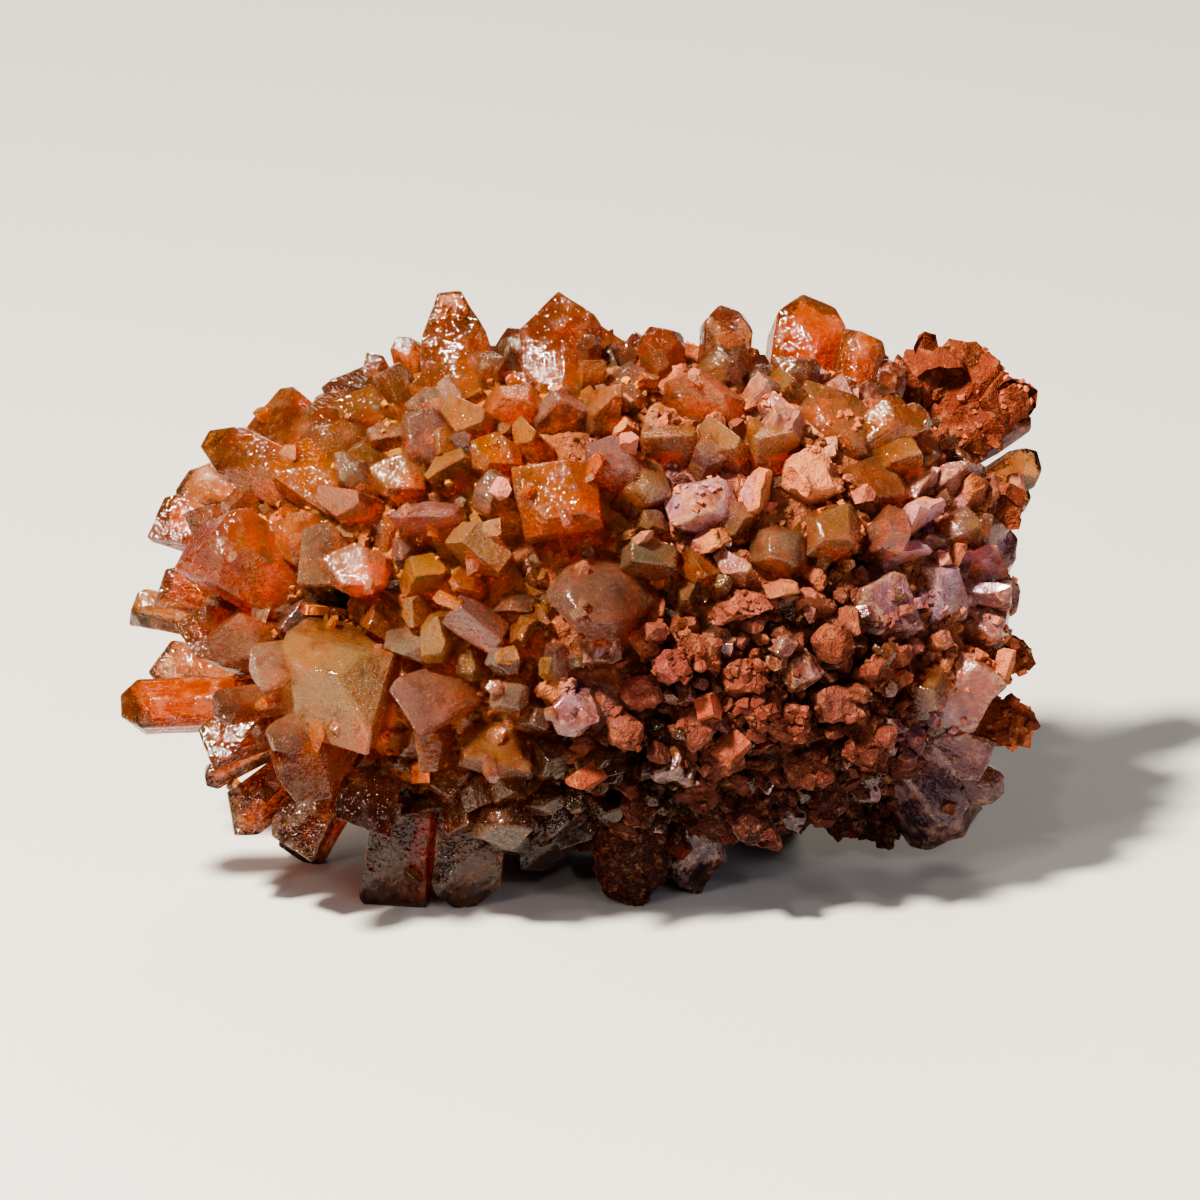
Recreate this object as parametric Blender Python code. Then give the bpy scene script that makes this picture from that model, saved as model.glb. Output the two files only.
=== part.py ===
"""A creedite cluster: a loose mineral specimen of stubby monoclinic crystals that grew outwards
from one lumpy core. Everything grew as one piece, so it is one solid.

Sizes in this file are millimetres until MM turns them into Blender's metres. The crystals that
can be told apart from the front are listed one by one, and the rest are grown by a seeded rule.
"""
import math
import random
from dataclasses import dataclass

import bmesh
import bpy
from mathutils import Matrix, Vector, noise

MM = 0.001

# The front view that the listed crystals were laid out in: its tilt above the table, how far off
# the eye is, and the point that it looks at, above the middle of the footprint.
VIEW_TILT = math.radians(20.0)
VIEW_DISTANCE = 400.0
VIEW_AIM = Vector((0.68, 0.81, 14.1))

# The core is a squarish egg, laid out along the view's own axes: across, up and toward the eye.
CORE_MIDDLE = (0.6, 0.2, 0.0)
CORE_RADII = (18.4, 11.5, 9.4)
CORE_POWER = 2.5
CORE_DETAIL = 2
LUMP_SIZE = 6.5
LUMP_HEIGHT = 0.9
PIT_SIZE = 2.4
PIT_HEIGHT = 0.4

# A crystal's unit form is a six-sided prism, or a four-sided block, with its tip at the origin.
# Its foot is narrower than its head: the crystals of a cluster spread from a crowded start.
BLOCK_RADIUS = 1.25
UNIT_LENGTH = 4.0
FOOT_TAPER = 0.82
ROOT_LENGTH = 3.0

# How the crystals that nobody lists are grown over the core.
SEED = 41
SEATS = 1400
SPACING = 0.9
LEAN = 0.42
BURIED = 1.0
SHORTEST = 0.7
CROWDING = 0.6
OUTLINE_RADII = (20.0, 12.9)
LONG_END = -7.0
SHORT_END = 5.0
GROWN_HEADS = ("blunt", "chisel", "peak", "slant", "wedge")

# The table top. Tips that would reach below it are worn flat where the cluster rests on them.
TABLE_BLOCK = 80.0

# Each head is a list of flat cuts through the unit prism: (outward normal, a point on the cut).
HEADS = {
    "chisel": (
        ((0.0, 0.74, 0.67), (0.0, 0.0, 0.0)),
        ((0.0, -0.74, 0.67), (0.0, 0.0, 0.0)),
        ((0.85, 0.0, 0.53), (0.42, 0.0, 0.0)),
        ((-0.8, 0.1, 0.6), (-0.3, 0.0, 0.0)),
    ),
    "slant": (
        ((0.5, 0.25, 0.83), (-0.35, 0.0, 0.0)),
        ((-0.82, 0.15, 0.55), (-0.35, 0.0, 0.0)),
        ((0.1, -0.88, 0.46), (-0.3, -0.2, 0.0)),
    ),
    "blunt": (
        ((0.16, 0.1, 0.98), (0.0, 0.0, 0.0)),
        ((0.78, 0.2, 0.6), (0.5, 0.0, -0.1)),
        ((-0.66, -0.45, 0.6), (-0.5, -0.2, 0.05)),
        ((0.1, -0.8, 0.6), (0.0, -0.55, 0.0)),
    ),
    "peak": (
        ((0.74, 0.25, 0.62), (0.0, 0.0, 0.0)),
        ((-0.7, 0.5, 0.52), (0.0, 0.0, 0.0)),
        ((-0.25, -0.82, 0.5), (0.0, 0.0, 0.0)),
    ),
    "wedge": (
        ((0.12, 0.55, 0.83), (0.0, 0.0, 0.0)),
        ((-0.12, -0.88, 0.46), (0.0, 0.0, 0.0)),
        ((0.88, 0.0, 0.47), (0.62, 0.0, 0.0)),
    ),
    "knob": (
        ((0.3, 0.2, 0.93), (0.0, 0.0, 0.0)),
        ((0.8, -0.1, 0.58), (0.45, 0.0, -0.1)),
        ((-0.75, 0.25, 0.6), (-0.4, 0.1, -0.05)),
        ((0.0, 0.85, 0.52), (0.0, 0.5, -0.1)),
        ((-0.1, -0.85, 0.52), (0.0, -0.45, 0.0)),
    ),
}


@dataclass(frozen=True)
class Crystal:
    """One crystal as the front view shows it: (across, up, toward the eye), from the view's aim."""

    tip: tuple
    foot: tuple
    width: float
    thickness: float
    twist: float = 0.0
    head: str = "chisel"
    sides: int = 6


LEFT_FAN = (
    Crystal((-16.8, 9.7, -1.0), (-11.0, 3.9, -1.5), 3.3, 2.6, 10, "wedge"),
    Crystal((-19.7, 8.0, 0.8), (-12.5, 4.2, 0.5), 3.0, 2.5, 0, "knob"),
    Crystal((-16.4, 7.7, 4.2), (-11.0, 3.8, 1.5), 3.1, 2.4, 25, "slant"),
    Crystal((-20.7, 5.9, -4.0), (-14.0, 3.6, -3.0), 3.2, 2.4, 0, "knob"),
    Crystal((-22.2, 4.3, -1.0), (-15.0, 1.6, -1.0), 2.5, 2.2, 20, "wedge"),
    Crystal((-20.9, 4.3, 2.0), (-14.5, 1.6, 1.0), 2.6, 2.1, -10, "peak"),
    Crystal((-19.7, 3.3, 6.8), (-13.2, -0.9, 3.0), 4.3, 3.7, 15, "blunt"),
    Crystal((-22.0, 0.8, 0.8), (-15.5, -1.2, 0.5), 2.1, 1.8, 0, "wedge"),
    Crystal((-23.3, -0.3, -2.2), (-16.0, -1.8, -2.0), 2.0, 1.7, 0, "blunt"),
    Crystal((-21.3, -1.2, 3.4), (-14.8, -3.2, 2.2), 2.9, 2.3, 12, "peak"),
    Crystal((-19.6, -1.6, 6.0), (-13.6, -2.8, 3.4), 3.0, 2.3, -20, "slant"),
    Crystal((-22.5, -3.1, -1.8), (-16.0, -3.9, -2.0), 2.6, 2.2, 0, "slant"),
    Crystal((-24.0, -5.4, 3.4), (-15.0, -5.0, 3.0), 2.7, 2.4, 18, "chisel"),
    Crystal((-19.8, -7.3, 5.4), (-14.5, -5.6, 4.0), 2.4, 2.0, 30, "wedge"),
    Crystal((-19.2, -5.5, 8.6), (-15.0, -4.6, 5.5), 1.9, 1.6, 0, "knob"),
    Crystal((-19.7, -9.0, 3.0), (-16.2, -7.2, 2.2), 1.4, 1.2, 0, "knob"),
    Crystal((-18.6, -11.3, 2.6), (-13.5, -7.2, 2.0), 2.7, 2.1, 0, "slant"),
    Crystal((-15.6, -12.4, 4.4), (-12.5, -7.5, 3.4), 2.8, 2.2, 20, "wedge"),
)

BIG_BLOCKS = (
    Crystal((-14.8, -7.2, 11.4), (-12.2, 0.6, 6.0), 6.4, 4.6, -14, "blunt", 4),
    Crystal((-17.3, -3.4, 10.6), (-12.9, -2.6, 7.2), 2.9, 1.4, 35, "blunt"),
    Crystal((-15.6, -9.6, 10.4), (-12.4, -4.8, 5.8), 4.6, 2.7, -28, "chisel"),
    Crystal((-16.4, -7.2, 10.8), (-12.6, -5.2, 7.0), 2.2, 1.3, 10, "knob"),
    Crystal((-8.2, -9.9, 7.2), (-7.2, -5.2, 3.6), 4.2, 3.0, 12, "slant"),
    Crystal((-12.0, -11.4, 6.6), (-10.6, -6.4, 3.4), 3.6, 2.6, 0, "wedge"),
)

CROWN = (
    Crystal((-12.9, 10.5, 4.0), (-8.6, 6.6, 2.6), 2.9, 2.3, 0, "slant"),
    Crystal((-11.7, 12.4, 2.2), (-8.8, 7.8, 1.4), 1.5, 1.2, 0, "peak"),
    Crystal((-9.8, 13.1, 1.0), (-8.6, 8.0, 0.6), 2.0, 1.7, 0, "knob"),
    Crystal((-7.6, 15.3, 2.4), (-6.4, 8.2, 1.4), 3.8, 2.9, -8, "knob"),
    Crystal((-5.4, 12.2, 5.2), (-5.2, 8.2, 2.8), 1.8, 1.5, 20, "blunt"),
    Crystal((-2.1, 15.5, 3.2), (-2.0, 8.4, 1.4), 4.8, 3.2, 6, "peak"),
    Crystal((0.6, 13.6, 0.4), (0.2, 8.2, 0.2), 3.4, 2.6, 0, "slant"),
    Crystal((-0.5, 13.3, 5.2), (-0.9, 8.8, 2.8), 1.4, 1.1, 0, "knob"),
    Crystal((-0.3, 12.0, 6.6), (-0.8, 8.4, 3.6), 1.6, 1.2, 30, "wedge"),
    Crystal((3.0, 13.6, 3.6), (3.4, 8.4, 1.8), 2.8, 2.2, 0, "knob"),
    Crystal((6.4, 14.6, 2.6), (5.9, 8.6, 1.2), 3.0, 2.4, 12, "knob"),
    Crystal((10.8, 14.7, -3.0), (9.6, 8.0, -2.0), 4.9, 3.8, 10, "knob"),
    Crystal((13.3, 13.2, -1.0), (11.8, 8.0, -0.8), 2.8, 2.2, 0, "blunt"),
    Crystal((14.7, 11.8, -1.4), (13.0, 7.2, -1.2), 2.3, 2.0, 30, "blunt"),
    Crystal((16.3, 12.2, -4.2), (14.8, 7.4, -3.4), 2.6, 2.2, 0, "blunt"),
)

BROW = (
    Crystal((-8.4, 9.9, 6.6), (-7.4, 7.2, 1.6), 3.0, 2.3, 8, "blunt"),
    Crystal((-6.5, 10.2, 6.2), (-6.0, 7.4, 2.0), 2.0, 1.5, 30, "wedge"),
    Crystal((-11.0, 8.4, 6.8), (-9.2, 6.2, 2.4), 3.2, 2.1, -10, "slant"),
    Crystal((-4.4, 10.4, 7.8), (-4.2, 6.4, 3.4), 3.6, 2.8, 15, "knob"),
    Crystal((-5.2, 7.4, 9.8), (-4.8, 5.6, 4.8), 2.9, 2.3, 0, "blunt"),
    Crystal((-1.4, 10.2, 8.2), (-2.2, 6.4, 3.8), 4.1, 2.5, 20, "slant"),
    Crystal((-10.2, 6.2, 9.0), (-9.0, 4.8, 3.8), 3.0, 2.4, 0, "blunt"),
    Crystal((-7.6, 6.7, 9.6), (-7.0, 5.2, 4.8), 2.8, 2.2, 40, "wedge"),
    Crystal((-5.5, 5.5, 10.8), (-5.0, 4.6, 5.8), 2.6, 2.0, 60, "knob"),
    Crystal((0.7, 7.2, 10.6), (0.6, 5.2, 5.4), 3.3, 2.5, 0, "blunt"),
    Crystal((3.6, 8.2, 9.6), (3.2, 5.8, 4.6), 3.3, 2.5, 20, "wedge"),
    Crystal((5.6, 11.0, 7.6), (4.2, 6.2, 3.0), 5.1, 2.3, -12, "knob"),
)

FACE = (
    Crystal((-2.2, 5.2, 12.6), (-1.4, 4.2, 6.8), 5.2, 3.8, 8, "blunt"),
    Crystal((-8.8, 4.2, 11.0), (-7.8, 3.2, 5.6), 4.1, 2.2, 6, "wedge"),
    Crystal((-6.2, 2.8, 12.0), (-5.6, 2.0, 6.6), 3.8, 2.6, -33, "slant"),
    Crystal((-12.4, 1.5, 9.8), (-10.8, 1.2, 5.2), 3.4, 2.8, 0, "blunt"),
    Crystal((-9.2, 1.2, 11.0), (-8.4, 1.0, 6.0), 3.1, 2.5, 40, "peak"),
    Crystal((-1.4, -0.7, 13.6), (2.0, 1.2, 7.8), 5.0, 2.9, 24, "knob"),
    Crystal((2.2, 2.2, 12.0), (3.0, 1.6, 7.0), 3.4, 2.4, 0, "slant"),
    Crystal((-9.9, -5.5, 11.6), (-6.2, -4.0, 7.0), 3.6, 2.3, 22, "wedge"),
    Crystal((-4.9, -3.1, 12.4), (-4.4, -2.8, 7.4), 2.0, 1.6, -20, "knob"),
    Crystal((-4.6, -4.9, 12.2), (-4.2, -4.2, 7.0), 2.3, 1.9, 0, "knob"),
    Crystal((-3.4, -6.2, 11.4), (-3.0, -5.0, 6.4), 1.9, 1.6, 0, "peak"),
    Crystal((-1.3, -5.9, 11.6), (-1.2, -4.8, 6.6), 2.8, 2.3, 25, "blunt"),
    Crystal((-5.3, -8.2, 9.8), (-5.0, -5.8, 4.8), 4.2, 2.9, 0, "wedge"),
    Crystal((5.2, 5.0, 10.6), (4.8, 4.0, 6.2), 4.3, 3.1, 15, "knob"),
    Crystal((7.2, -0.5, 11.0), (7.4, 0.2, 7.0), 3.8, 1.4, 14, "slant"),
)

RIGHT_FACE = (
    Crystal((12.1, 9.2, 6.2), (11.0, 6.0, 1.8), 5.8, 3.8, -12, "blunt"),
    Crystal((16.0, 8.4, 3.2), (14.4, 6.0, -0.8), 4.1, 3.5, 10, "knob"),
    Crystal((10.8, 6.4, 9.0), (10.0, 5.0, 4.2), 3.6, 2.9, 0, "blunt"),
    Crystal((14.0, 5.9, 7.0), (12.9, 4.6, 2.6), 4.4, 3.0, 8, "blunt"),
    Crystal((11.6, 3.6, 9.6), (11.0, 2.8, 5.0), 3.9, 3.2, 20, "knob"),
    Crystal((9.0, 2.6, 10.4), (8.6, 2.2, 6.0), 3.4, 2.8, 0, "knob"),
    Crystal((17.6, 0.6, 5.8), (15.0, 0.4, 2.2), 5.5, 4.0, 18, "knob"),
    Crystal((14.9, -0.4, 7.8), (13.2, -0.4, 3.6), 4.6, 3.8, 0, "blunt"),
    Crystal((11.9, -2.2, 9.8), (11.2, -2.0, 5.6), 2.4, 2.1, 25, "blunt"),
    Crystal((14.2, -3.6, 8.2), (13.2, -3.0, 4.0), 2.2, 2.0, 10, "blunt"),
    Crystal((16.2, 3.8, 5.6), (14.6, 3.0, 1.8), 3.8, 3.2, 0, "slant"),
    Crystal((7.4, -4.0, 10.4), (7.0, -3.4, 6.0), 2.4, 2.0, 0, "knob"),
    Crystal((3.6, -3.4, 11.6), (3.4, -3.0, 7.2), 2.1, 1.9, 30, "blunt"),
    Crystal((1.3, -6.9, 10.8), (1.2, -5.6, 6.0), 2.1, 1.9, 0, "knob"),
    Crystal((9.6, -6.4, 8.8), (9.0, -5.0, 4.4), 2.5, 2.1, 15, "blunt"),
    Crystal((4.8, -6.6, 9.8), (4.6, -5.2, 5.2), 2.5, 2.1, 45, "knob"),
)

LOWER_LUMPS = (
    Crystal((0.0, -2.6, 11.0), (0.0, -2.4, 8.0), 2.2, 1.8, 10, "knob", 4),
    Crystal((-2.1, -4.6, 10.7), (-2.0, -4.0, 7.6), 2.0, 1.7, 40, "blunt", 4),
    Crystal((2.6, -2.0, 11.1), (2.5, -1.8, 8.0), 2.1, 1.8, 25, "slant", 4),
    Crystal((5.1, -2.6, 10.6), (4.9, -2.2, 7.4), 2.4, 2.0, 0, "blunt", 4),
    Crystal((2.1, -4.8, 10.4), (2.0, -4.2, 7.2), 2.2, 1.9, 15, "blunt", 4),
    Crystal((10.1, -3.6, 9.6), (9.6, -3.2, 6.4), 2.3, 2.0, 35, "knob", 4),
    Crystal((8.1, -5.6, 9.6), (7.8, -4.8, 6.2), 2.3, 1.9, 20, "blunt", 4),
    Crystal((12.1, -5.4, 8.8), (11.4, -4.6, 5.4), 2.4, 2.0, 0, "blunt", 4),
    Crystal((6.2, -8.6, 8.4), (5.8, -6.8, 5.2), 2.4, 2.0, 10, "knob", 4),
    Crystal((3.4, -8.8, 8.6), (3.2, -7.0, 5.4), 2.3, 1.9, 30, "slant", 4),
    Crystal((13.4, -7.6, 7.2), (12.4, -6.2, 4.2), 2.4, 2.0, 20, "blunt", 4),
    Crystal((10.4, -8.8, 7.0), (9.6, -7.0, 4.0), 2.6, 2.1, 0, "blunt", 4),
)

RIGHT_END = (
    Crystal((19.2, 12.3, -5.0), (16.4, 6.2, -4.2), 4.2, 3.4, 0, "knob"),
    Crystal((20.9, 10.6, -4.2), (17.0, 6.4, -3.8), 2.8, 2.3, 0, "blunt"),
    Crystal((21.6, 9.2, -4.6), (17.6, 6.6, -4.2), 1.5, 1.3, 0, "peak"),
    Crystal((21.8, 7.0, -6.2), (16.6, 3.8, -4.6), 2.5, 2.0, 15, "knob"),
    Crystal((21.3, 5.4, -6.6), (16.4, 3.2, -4.8), 2.1, 1.8, 0, "knob"),
    Crystal((20.7, 2.6, 0.4), (15.6, 1.6, 0.0), 3.9, 3.1, 0, "knob"),
    Crystal((20.9, 0.2, 1.2), (15.8, 0.0, 0.6), 3.1, 2.6, 20, "knob"),
    Crystal((20.3, -1.3, 3.0), (15.4, -1.2, 1.6), 2.6, 2.1, 0, "blunt"),
    Crystal((21.8, -3.1, 0.4), (16.0, -1.9, 0.4), 3.3, 2.6, -12, "peak"),
    Crystal((20.3, -4.9, 4.2), (14.8, -3.8, 2.6), 4.8, 3.6, 22, "slant"),
    Crystal((21.2, -6.4, 0.6), (15.8, -5.0, 0.4), 2.7, 2.2, 0, "blunt"),
    Crystal((19.4, -8.2, 2.2), (14.6, -5.8, 1.4), 2.9, 2.3, 20, "wedge"),
    Crystal((19.7, -9.9, -3.6), (14.8, -6.2, -2.6), 2.6, 2.1, 0, "knob"),
)

# The tips that the cluster stands on, and those that hang just clear of the table beside them.
FEET = (
    Crystal((-10.4, -15.9, 0.4), (-9.4, -7.6, 2.2), 4.0, 3.2, 12, "wedge"),
    Crystal((-6.8, -15.9, 0.6), (-6.2, -8.0, 2.2), 4.4, 3.4, 0, "peak"),
    Crystal((-4.6, -12.6, 4.2), (-4.6, -7.6, 3.0), 2.7, 2.2, 0, "blunt"),
    Crystal((1.7, -15.9, 0.2), (1.4, -8.0, 1.8), 4.4, 3.4, 15, "peak"),
    Crystal((5.0, -15.0, -0.8), (4.2, -8.0, 0.6), 3.8, 3.0, 0, "peak"),
    Crystal((7.8, -12.1, 5.6), (7.0, -7.0, 3.4), 2.5, 2.1, 0, "blunt"),
    Crystal((2.0, -11.5, 6.8), (1.9, -7.4, 4.0), 2.3, 1.9, 0, "peak"),
    Crystal((17.6, -11.6, -4.4), (13.4, -5.6, -1.8), 4.8, 4.0, 10, "blunt"),
    Crystal((12.2, -11.7, -2.6), (11.8, -6.8, -1.0), 2.4, 2.0, 0, "knob"),
    Crystal((14.1, -11.9, -4.0), (13.2, -7.0, -2.0), 2.2, 1.8, 30, "blunt"),
    Crystal((-9.0, -12.4, -8.6), (-7.6, -5.4, -4.6), 4.2, 3.4, 20, "blunt"),
    Crystal((8.4, -11.9, -10.2), (6.6, -5.0, -5.0), 4.2, 3.4, 0, "blunt"),
    Crystal((-15.2, -12.9, -4.6), (-11.0, -6.2, -3.0), 3.2, 2.6, 0, "wedge"),
)

FRONT = LEFT_FAN + BIG_BLOCKS + CROWN + BROW + FACE + RIGHT_FACE + LOWER_LUMPS
LISTED = FRONT + RIGHT_END + FEET


def from_view(place):
    """A place in the front view, as a point of the object. What is nearer the eye looks larger."""
    across, up, toward = place
    shrink = (VIEW_DISTANCE - toward) / VIEW_DISTANCE
    up_way = Vector((0.0, math.sin(VIEW_TILT), math.cos(VIEW_TILT)))
    toward_way = Vector((0.0, -math.cos(VIEW_TILT), math.sin(VIEW_TILT)))
    flat = Vector((across, 0.0, 0.0)) + up_way * up
    return VIEW_AIM + flat * shrink + toward_way * toward


def broad_side(axis, twist):
    """The direction of a crystal's width: across the view, then turned by the twist."""
    toward_way = Vector((0.0, -math.cos(VIEW_TILT), math.sin(VIEW_TILT)))
    side = axis.cross(toward_way)
    if side.length < 0.35:
        side = Vector((1.0, 0.0, 0.0)) - axis * axis.x
    side.normalize()
    return Matrix.Rotation(math.radians(twist), 3, axis) @ side


def collection(name):
    """A new collection in the scene."""
    made = bpy.data.collections.new(name)
    bpy.context.scene.collection.children.link(made)
    return made


def object_from(shape, name, folder):
    """Ends a bmesh as an object in a collection, in metres."""
    bmesh.ops.scale(shape, vec=(MM, MM, MM), verts=shape.verts)
    mesh = bpy.data.meshes.new(name)
    shape.to_mesh(mesh)
    shape.free()
    made = bpy.data.objects.new(name, mesh)
    folder.objects.link(made)
    return made


def cut_flat(shape, point, normal):
    """Cuts away what lies beyond a plane and closes the cut with one face."""
    bmesh.ops.bisect_plane(
        shape,
        geom=shape.verts[:] + shape.edges[:] + shape.faces[:],
        plane_co=point,
        plane_no=normal,
        clear_outer=True,
    )
    rim = [edge for edge in shape.edges if edge.is_boundary]
    bmesh.ops.holes_fill(shape, edges=rim, sides=0)


def unit_crystal(head, sides):
    """A prism hanging from the origin, with a head's cuts made."""
    shape = bmesh.new()
    radius = BLOCK_RADIUS if sides == 4 else 1.0
    turn = math.radians(45.0) if sides == 4 else 0.0
    hang = Matrix.Translation((0.0, 0.0, 0.3 - UNIT_LENGTH / 2))
    bmesh.ops.create_cone(
        shape,
        cap_ends=True,
        segments=sides,
        radius1=radius * FOOT_TAPER,
        radius2=radius,
        depth=UNIT_LENGTH,
        matrix=hang @ Matrix.Rotation(turn, 4, "Z"),
    )
    for normal, point in HEADS[head]:
        cut_flat(shape, point, normal)
    bmesh.ops.recalc_face_normals(shape, faces=shape.faces)
    return shape


def grow(crystal, name, folder):
    """Makes one crystal. Its head keeps its angles, and the prism behind it takes the length."""
    tip = from_view(crystal.tip)
    foot = from_view(crystal.foot)
    axis = (tip - foot).normalized()
    length = (tip - foot).length + ROOT_LENGTH
    side = broad_side(axis, crystal.twist)
    half = crystal.width / 2
    shape = unit_crystal(crystal.head, crystal.sides)
    for vert in shape.verts:
        if vert.co.z < -UNIT_LENGTH / 2:
            vert.co.z = -length / half
    frame = Matrix((side * half, axis.cross(side) * crystal.thickness / 2, axis * half))
    bmesh.ops.transform(
        shape, matrix=Matrix.Translation(tip) @ frame.transposed().to_4x4(), verts=shape.verts
    )
    return object_from(shape, name, folder)


def core_point(way):
    """The point of the core's surface in a direction of the view's axes."""
    power = sum(abs(part / radius) ** CORE_POWER for part, radius in zip(way, CORE_RADII))
    place = Vector(way) * power ** (-1.0 / CORE_POWER)
    lump = noise.noise(place / LUMP_SIZE) * LUMP_HEIGHT
    pit = noise.noise(place / PIT_SIZE + Vector((9.0, 4.0, 2.0))) * PIT_HEIGHT
    place += place.normalized() * (lump + pit)
    return from_view(Vector(CORE_MIDDLE) + place)


def make_core(folder):
    """The lumpy egg that every crystal grows from."""
    shape = bmesh.new()
    bmesh.ops.create_icosphere(shape, subdivisions=CORE_DETAIL, radius=1.0)
    for vert in shape.verts:
        vert.co = core_point(vert.co.normalized())
    return object_from(shape, "core", folder)


def spiral_way(index, count):
    """The index-th of count directions that are spread evenly over a sphere."""
    height = 1.0 - (2.0 * index + 1.0) / count
    turn = index * math.pi * (3.0 - math.sqrt(5.0))
    ring = math.sqrt(1.0 - height * height)
    return Vector((height, ring * math.cos(turn), ring * math.sin(turn)))


def to_view(point):
    """The inverse of from_view."""
    offset = point - VIEW_AIM
    up_way = Vector((0.0, math.sin(VIEW_TILT), math.cos(VIEW_TILT)))
    toward_way = Vector((0.0, -math.cos(VIEW_TILT), math.sin(VIEW_TILT)))
    toward = offset.dot(toward_way)
    grow_by = VIEW_DISTANCE / (VIEW_DISTANCE - toward)
    return (offset.x * grow_by, offset.dot(up_way) * grow_by, toward)


def distance_to_axis(point, crystal):
    """How far a point lies from the line between a crystal's foot and its tip."""
    tip = from_view(crystal.tip)
    foot = from_view(crystal.foot)
    along = tip - foot
    share = max(0.0, min(1.0, (point - foot).dot(along) / along.length_squared))
    return (point - foot - along * share).length


def is_free(point, radius):
    """True where a grown crystal's tip would stay clear of the listed ones."""
    return all(
        distance_to_axis(point, crystal) > CROWDING * (radius + crystal.width / 2)
        for crystal in LISTED
    )


def is_inside_outline(tip):
    """True where a grown crystal wouldn't change the outline that the listed ones give."""
    offsets = (to_view(tip)[0] - CORE_MIDDLE[0], to_view(tip)[1] - CORE_MIDDLE[1])
    return sum(abs(part / radius) ** CORE_POWER for part, radius in zip(offsets, OUTLINE_RADII)) < 1.0


def outward(way):
    """The direction that faces straight out of the core there."""
    step = 0.02
    side = Vector(way).orthogonal().normalized() * step
    other = Vector(way).cross(side).normalized() * step
    middle = core_point(way)
    normal = (core_point(way + side) - middle).cross(core_point(way + other) - middle)
    return normal.normalized()


def has_room(seat, width, taken):
    """True where a crystal's seat lies clear of the seats that are already taken."""
    return all(
        (seat - other).length > SPACING * (width + other_width) / 2 for other, other_width in taken
    )


def grown_crystals():
    """The crystals that aren't listed: long and blocky at the left end, stubby at the right."""
    rng = random.Random(SEED)
    order = list(range(SEATS))
    rng.shuffle(order)
    taken = []
    found = []
    for index in order:
        way = spiral_way(index, SEATS)
        seat = core_point(way)
        lean = Vector([rng.uniform(-1.0, 1.0) for _ in range(3)]) * LEAN
        axis = (outward(way) + lean + Vector((way.x * 0.4, 0.0, 0.0))).normalized()
        stub = min(1.0, max(0.0, (to_view(seat)[0] - LONG_END) / (SHORT_END - LONG_END)))
        width = rng.uniform(3.0, 4.8) * (1.0 - stub) + rng.uniform(2.2, 3.6) * stub
        rise = rng.uniform(1.4, 3.6) * (1.0 - stub) + rng.uniform(0.7, 2.0) * stub
        tip = seat + axis * rise
        while rise > SHORTEST and not is_inside_outline(tip):
            rise *= 0.7
            tip = seat + axis * rise
        foot = seat - axis * BURIED
        thickness = width * rng.uniform(0.6, 0.85)
        twist = rng.uniform(0.0, 180.0)
        head = rng.choice(GROWN_HEADS)
        free = is_inside_outline(tip) and is_free(tip, width / 2) and is_free(seat, width / 2)
        if free and has_room(seat, width, taken):
            taken.append((seat, width))
            found.append(Crystal(to_view(tip), to_view(foot), width, thickness, twist, head, 4))
    return found


def as_cutter(helper):
    """Keeps a helper in the scene without letting it show as part of the object."""
    helper.hide_render = True
    helper.display_type = "WIRE"


def table_block(folder):
    """A block whose top is the table, to wear the resting tips flat."""
    shape = bmesh.new()
    bmesh.ops.create_cube(
        shape,
        size=TABLE_BLOCK,
        matrix=Matrix.Translation((0.0, 0.0, -TABLE_BLOCK / 2)),
    )
    block = object_from(shape, "table_block", folder)
    as_cutter(block)
    return block


def outer_body(mesh):
    """Fills the sealed pockets between crystals: keeps the largest closed surface alone."""
    shape = bmesh.new()
    shape.from_mesh(mesh)
    bmesh.ops.remove_doubles(shape, verts=shape.verts, dist=0.002 * MM)
    unseen = set(shape.verts)
    bodies = []
    while unseen:
        body = {unseen.pop()}
        edge_of_body = list(body)
        while edge_of_body:
            vert = edge_of_body.pop()
            for edge in vert.link_edges:
                other = edge.other_vert(vert)
                if other in unseen:
                    unseen.discard(other)
                    body.add(other)
                    edge_of_body.append(other)
        bodies.append(body)
    largest = max(bodies, key=len)
    spare = [vert for body in bodies if body is not largest for vert in body]
    bmesh.ops.delete(shape, geom=spare, context="VERTS")
    shape.to_mesh(mesh)
    shape.free()


def crystal_material():
    """Translucent orange creedite, dusted with iron-stained clay."""
    made = bpy.data.materials.new("creedite")
    made.use_nodes = True
    shader = made.node_tree.nodes["Principled BSDF"]
    shader.inputs["Base Color"].default_value = (0.62, 0.23, 0.09, 1.0)
    shader.inputs["Roughness"].default_value = 0.35
    shader.inputs["Metallic"].default_value = 0.0
    shader.inputs["IOR"].default_value = 1.47
    return made


def fuse(core, crystals, block, folder):
    """Joins the crystals to the core and wears the tips flat at the table, as one mesh."""
    union = core.modifiers.new("crystals", "BOOLEAN")
    union.operation = "UNION"
    union.operand_type = "COLLECTION"
    union.collection = crystals
    union.solver = "EXACT"
    rest = core.modifiers.new("rest", "BOOLEAN")
    rest.operation = "DIFFERENCE"
    rest.object = block
    rest.solver = "EXACT"
    graph = bpy.context.evaluated_depsgraph_get()
    mesh = bpy.data.meshes.new_from_object(core.evaluated_get(graph))
    outer_body(mesh)
    mesh.name = "creedite_cluster"
    mesh.materials.clear()
    mesh.materials.append(crystal_material())
    cluster = bpy.data.objects.new("creedite_cluster", mesh)
    folder.objects.link(cluster)
    return cluster


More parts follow.
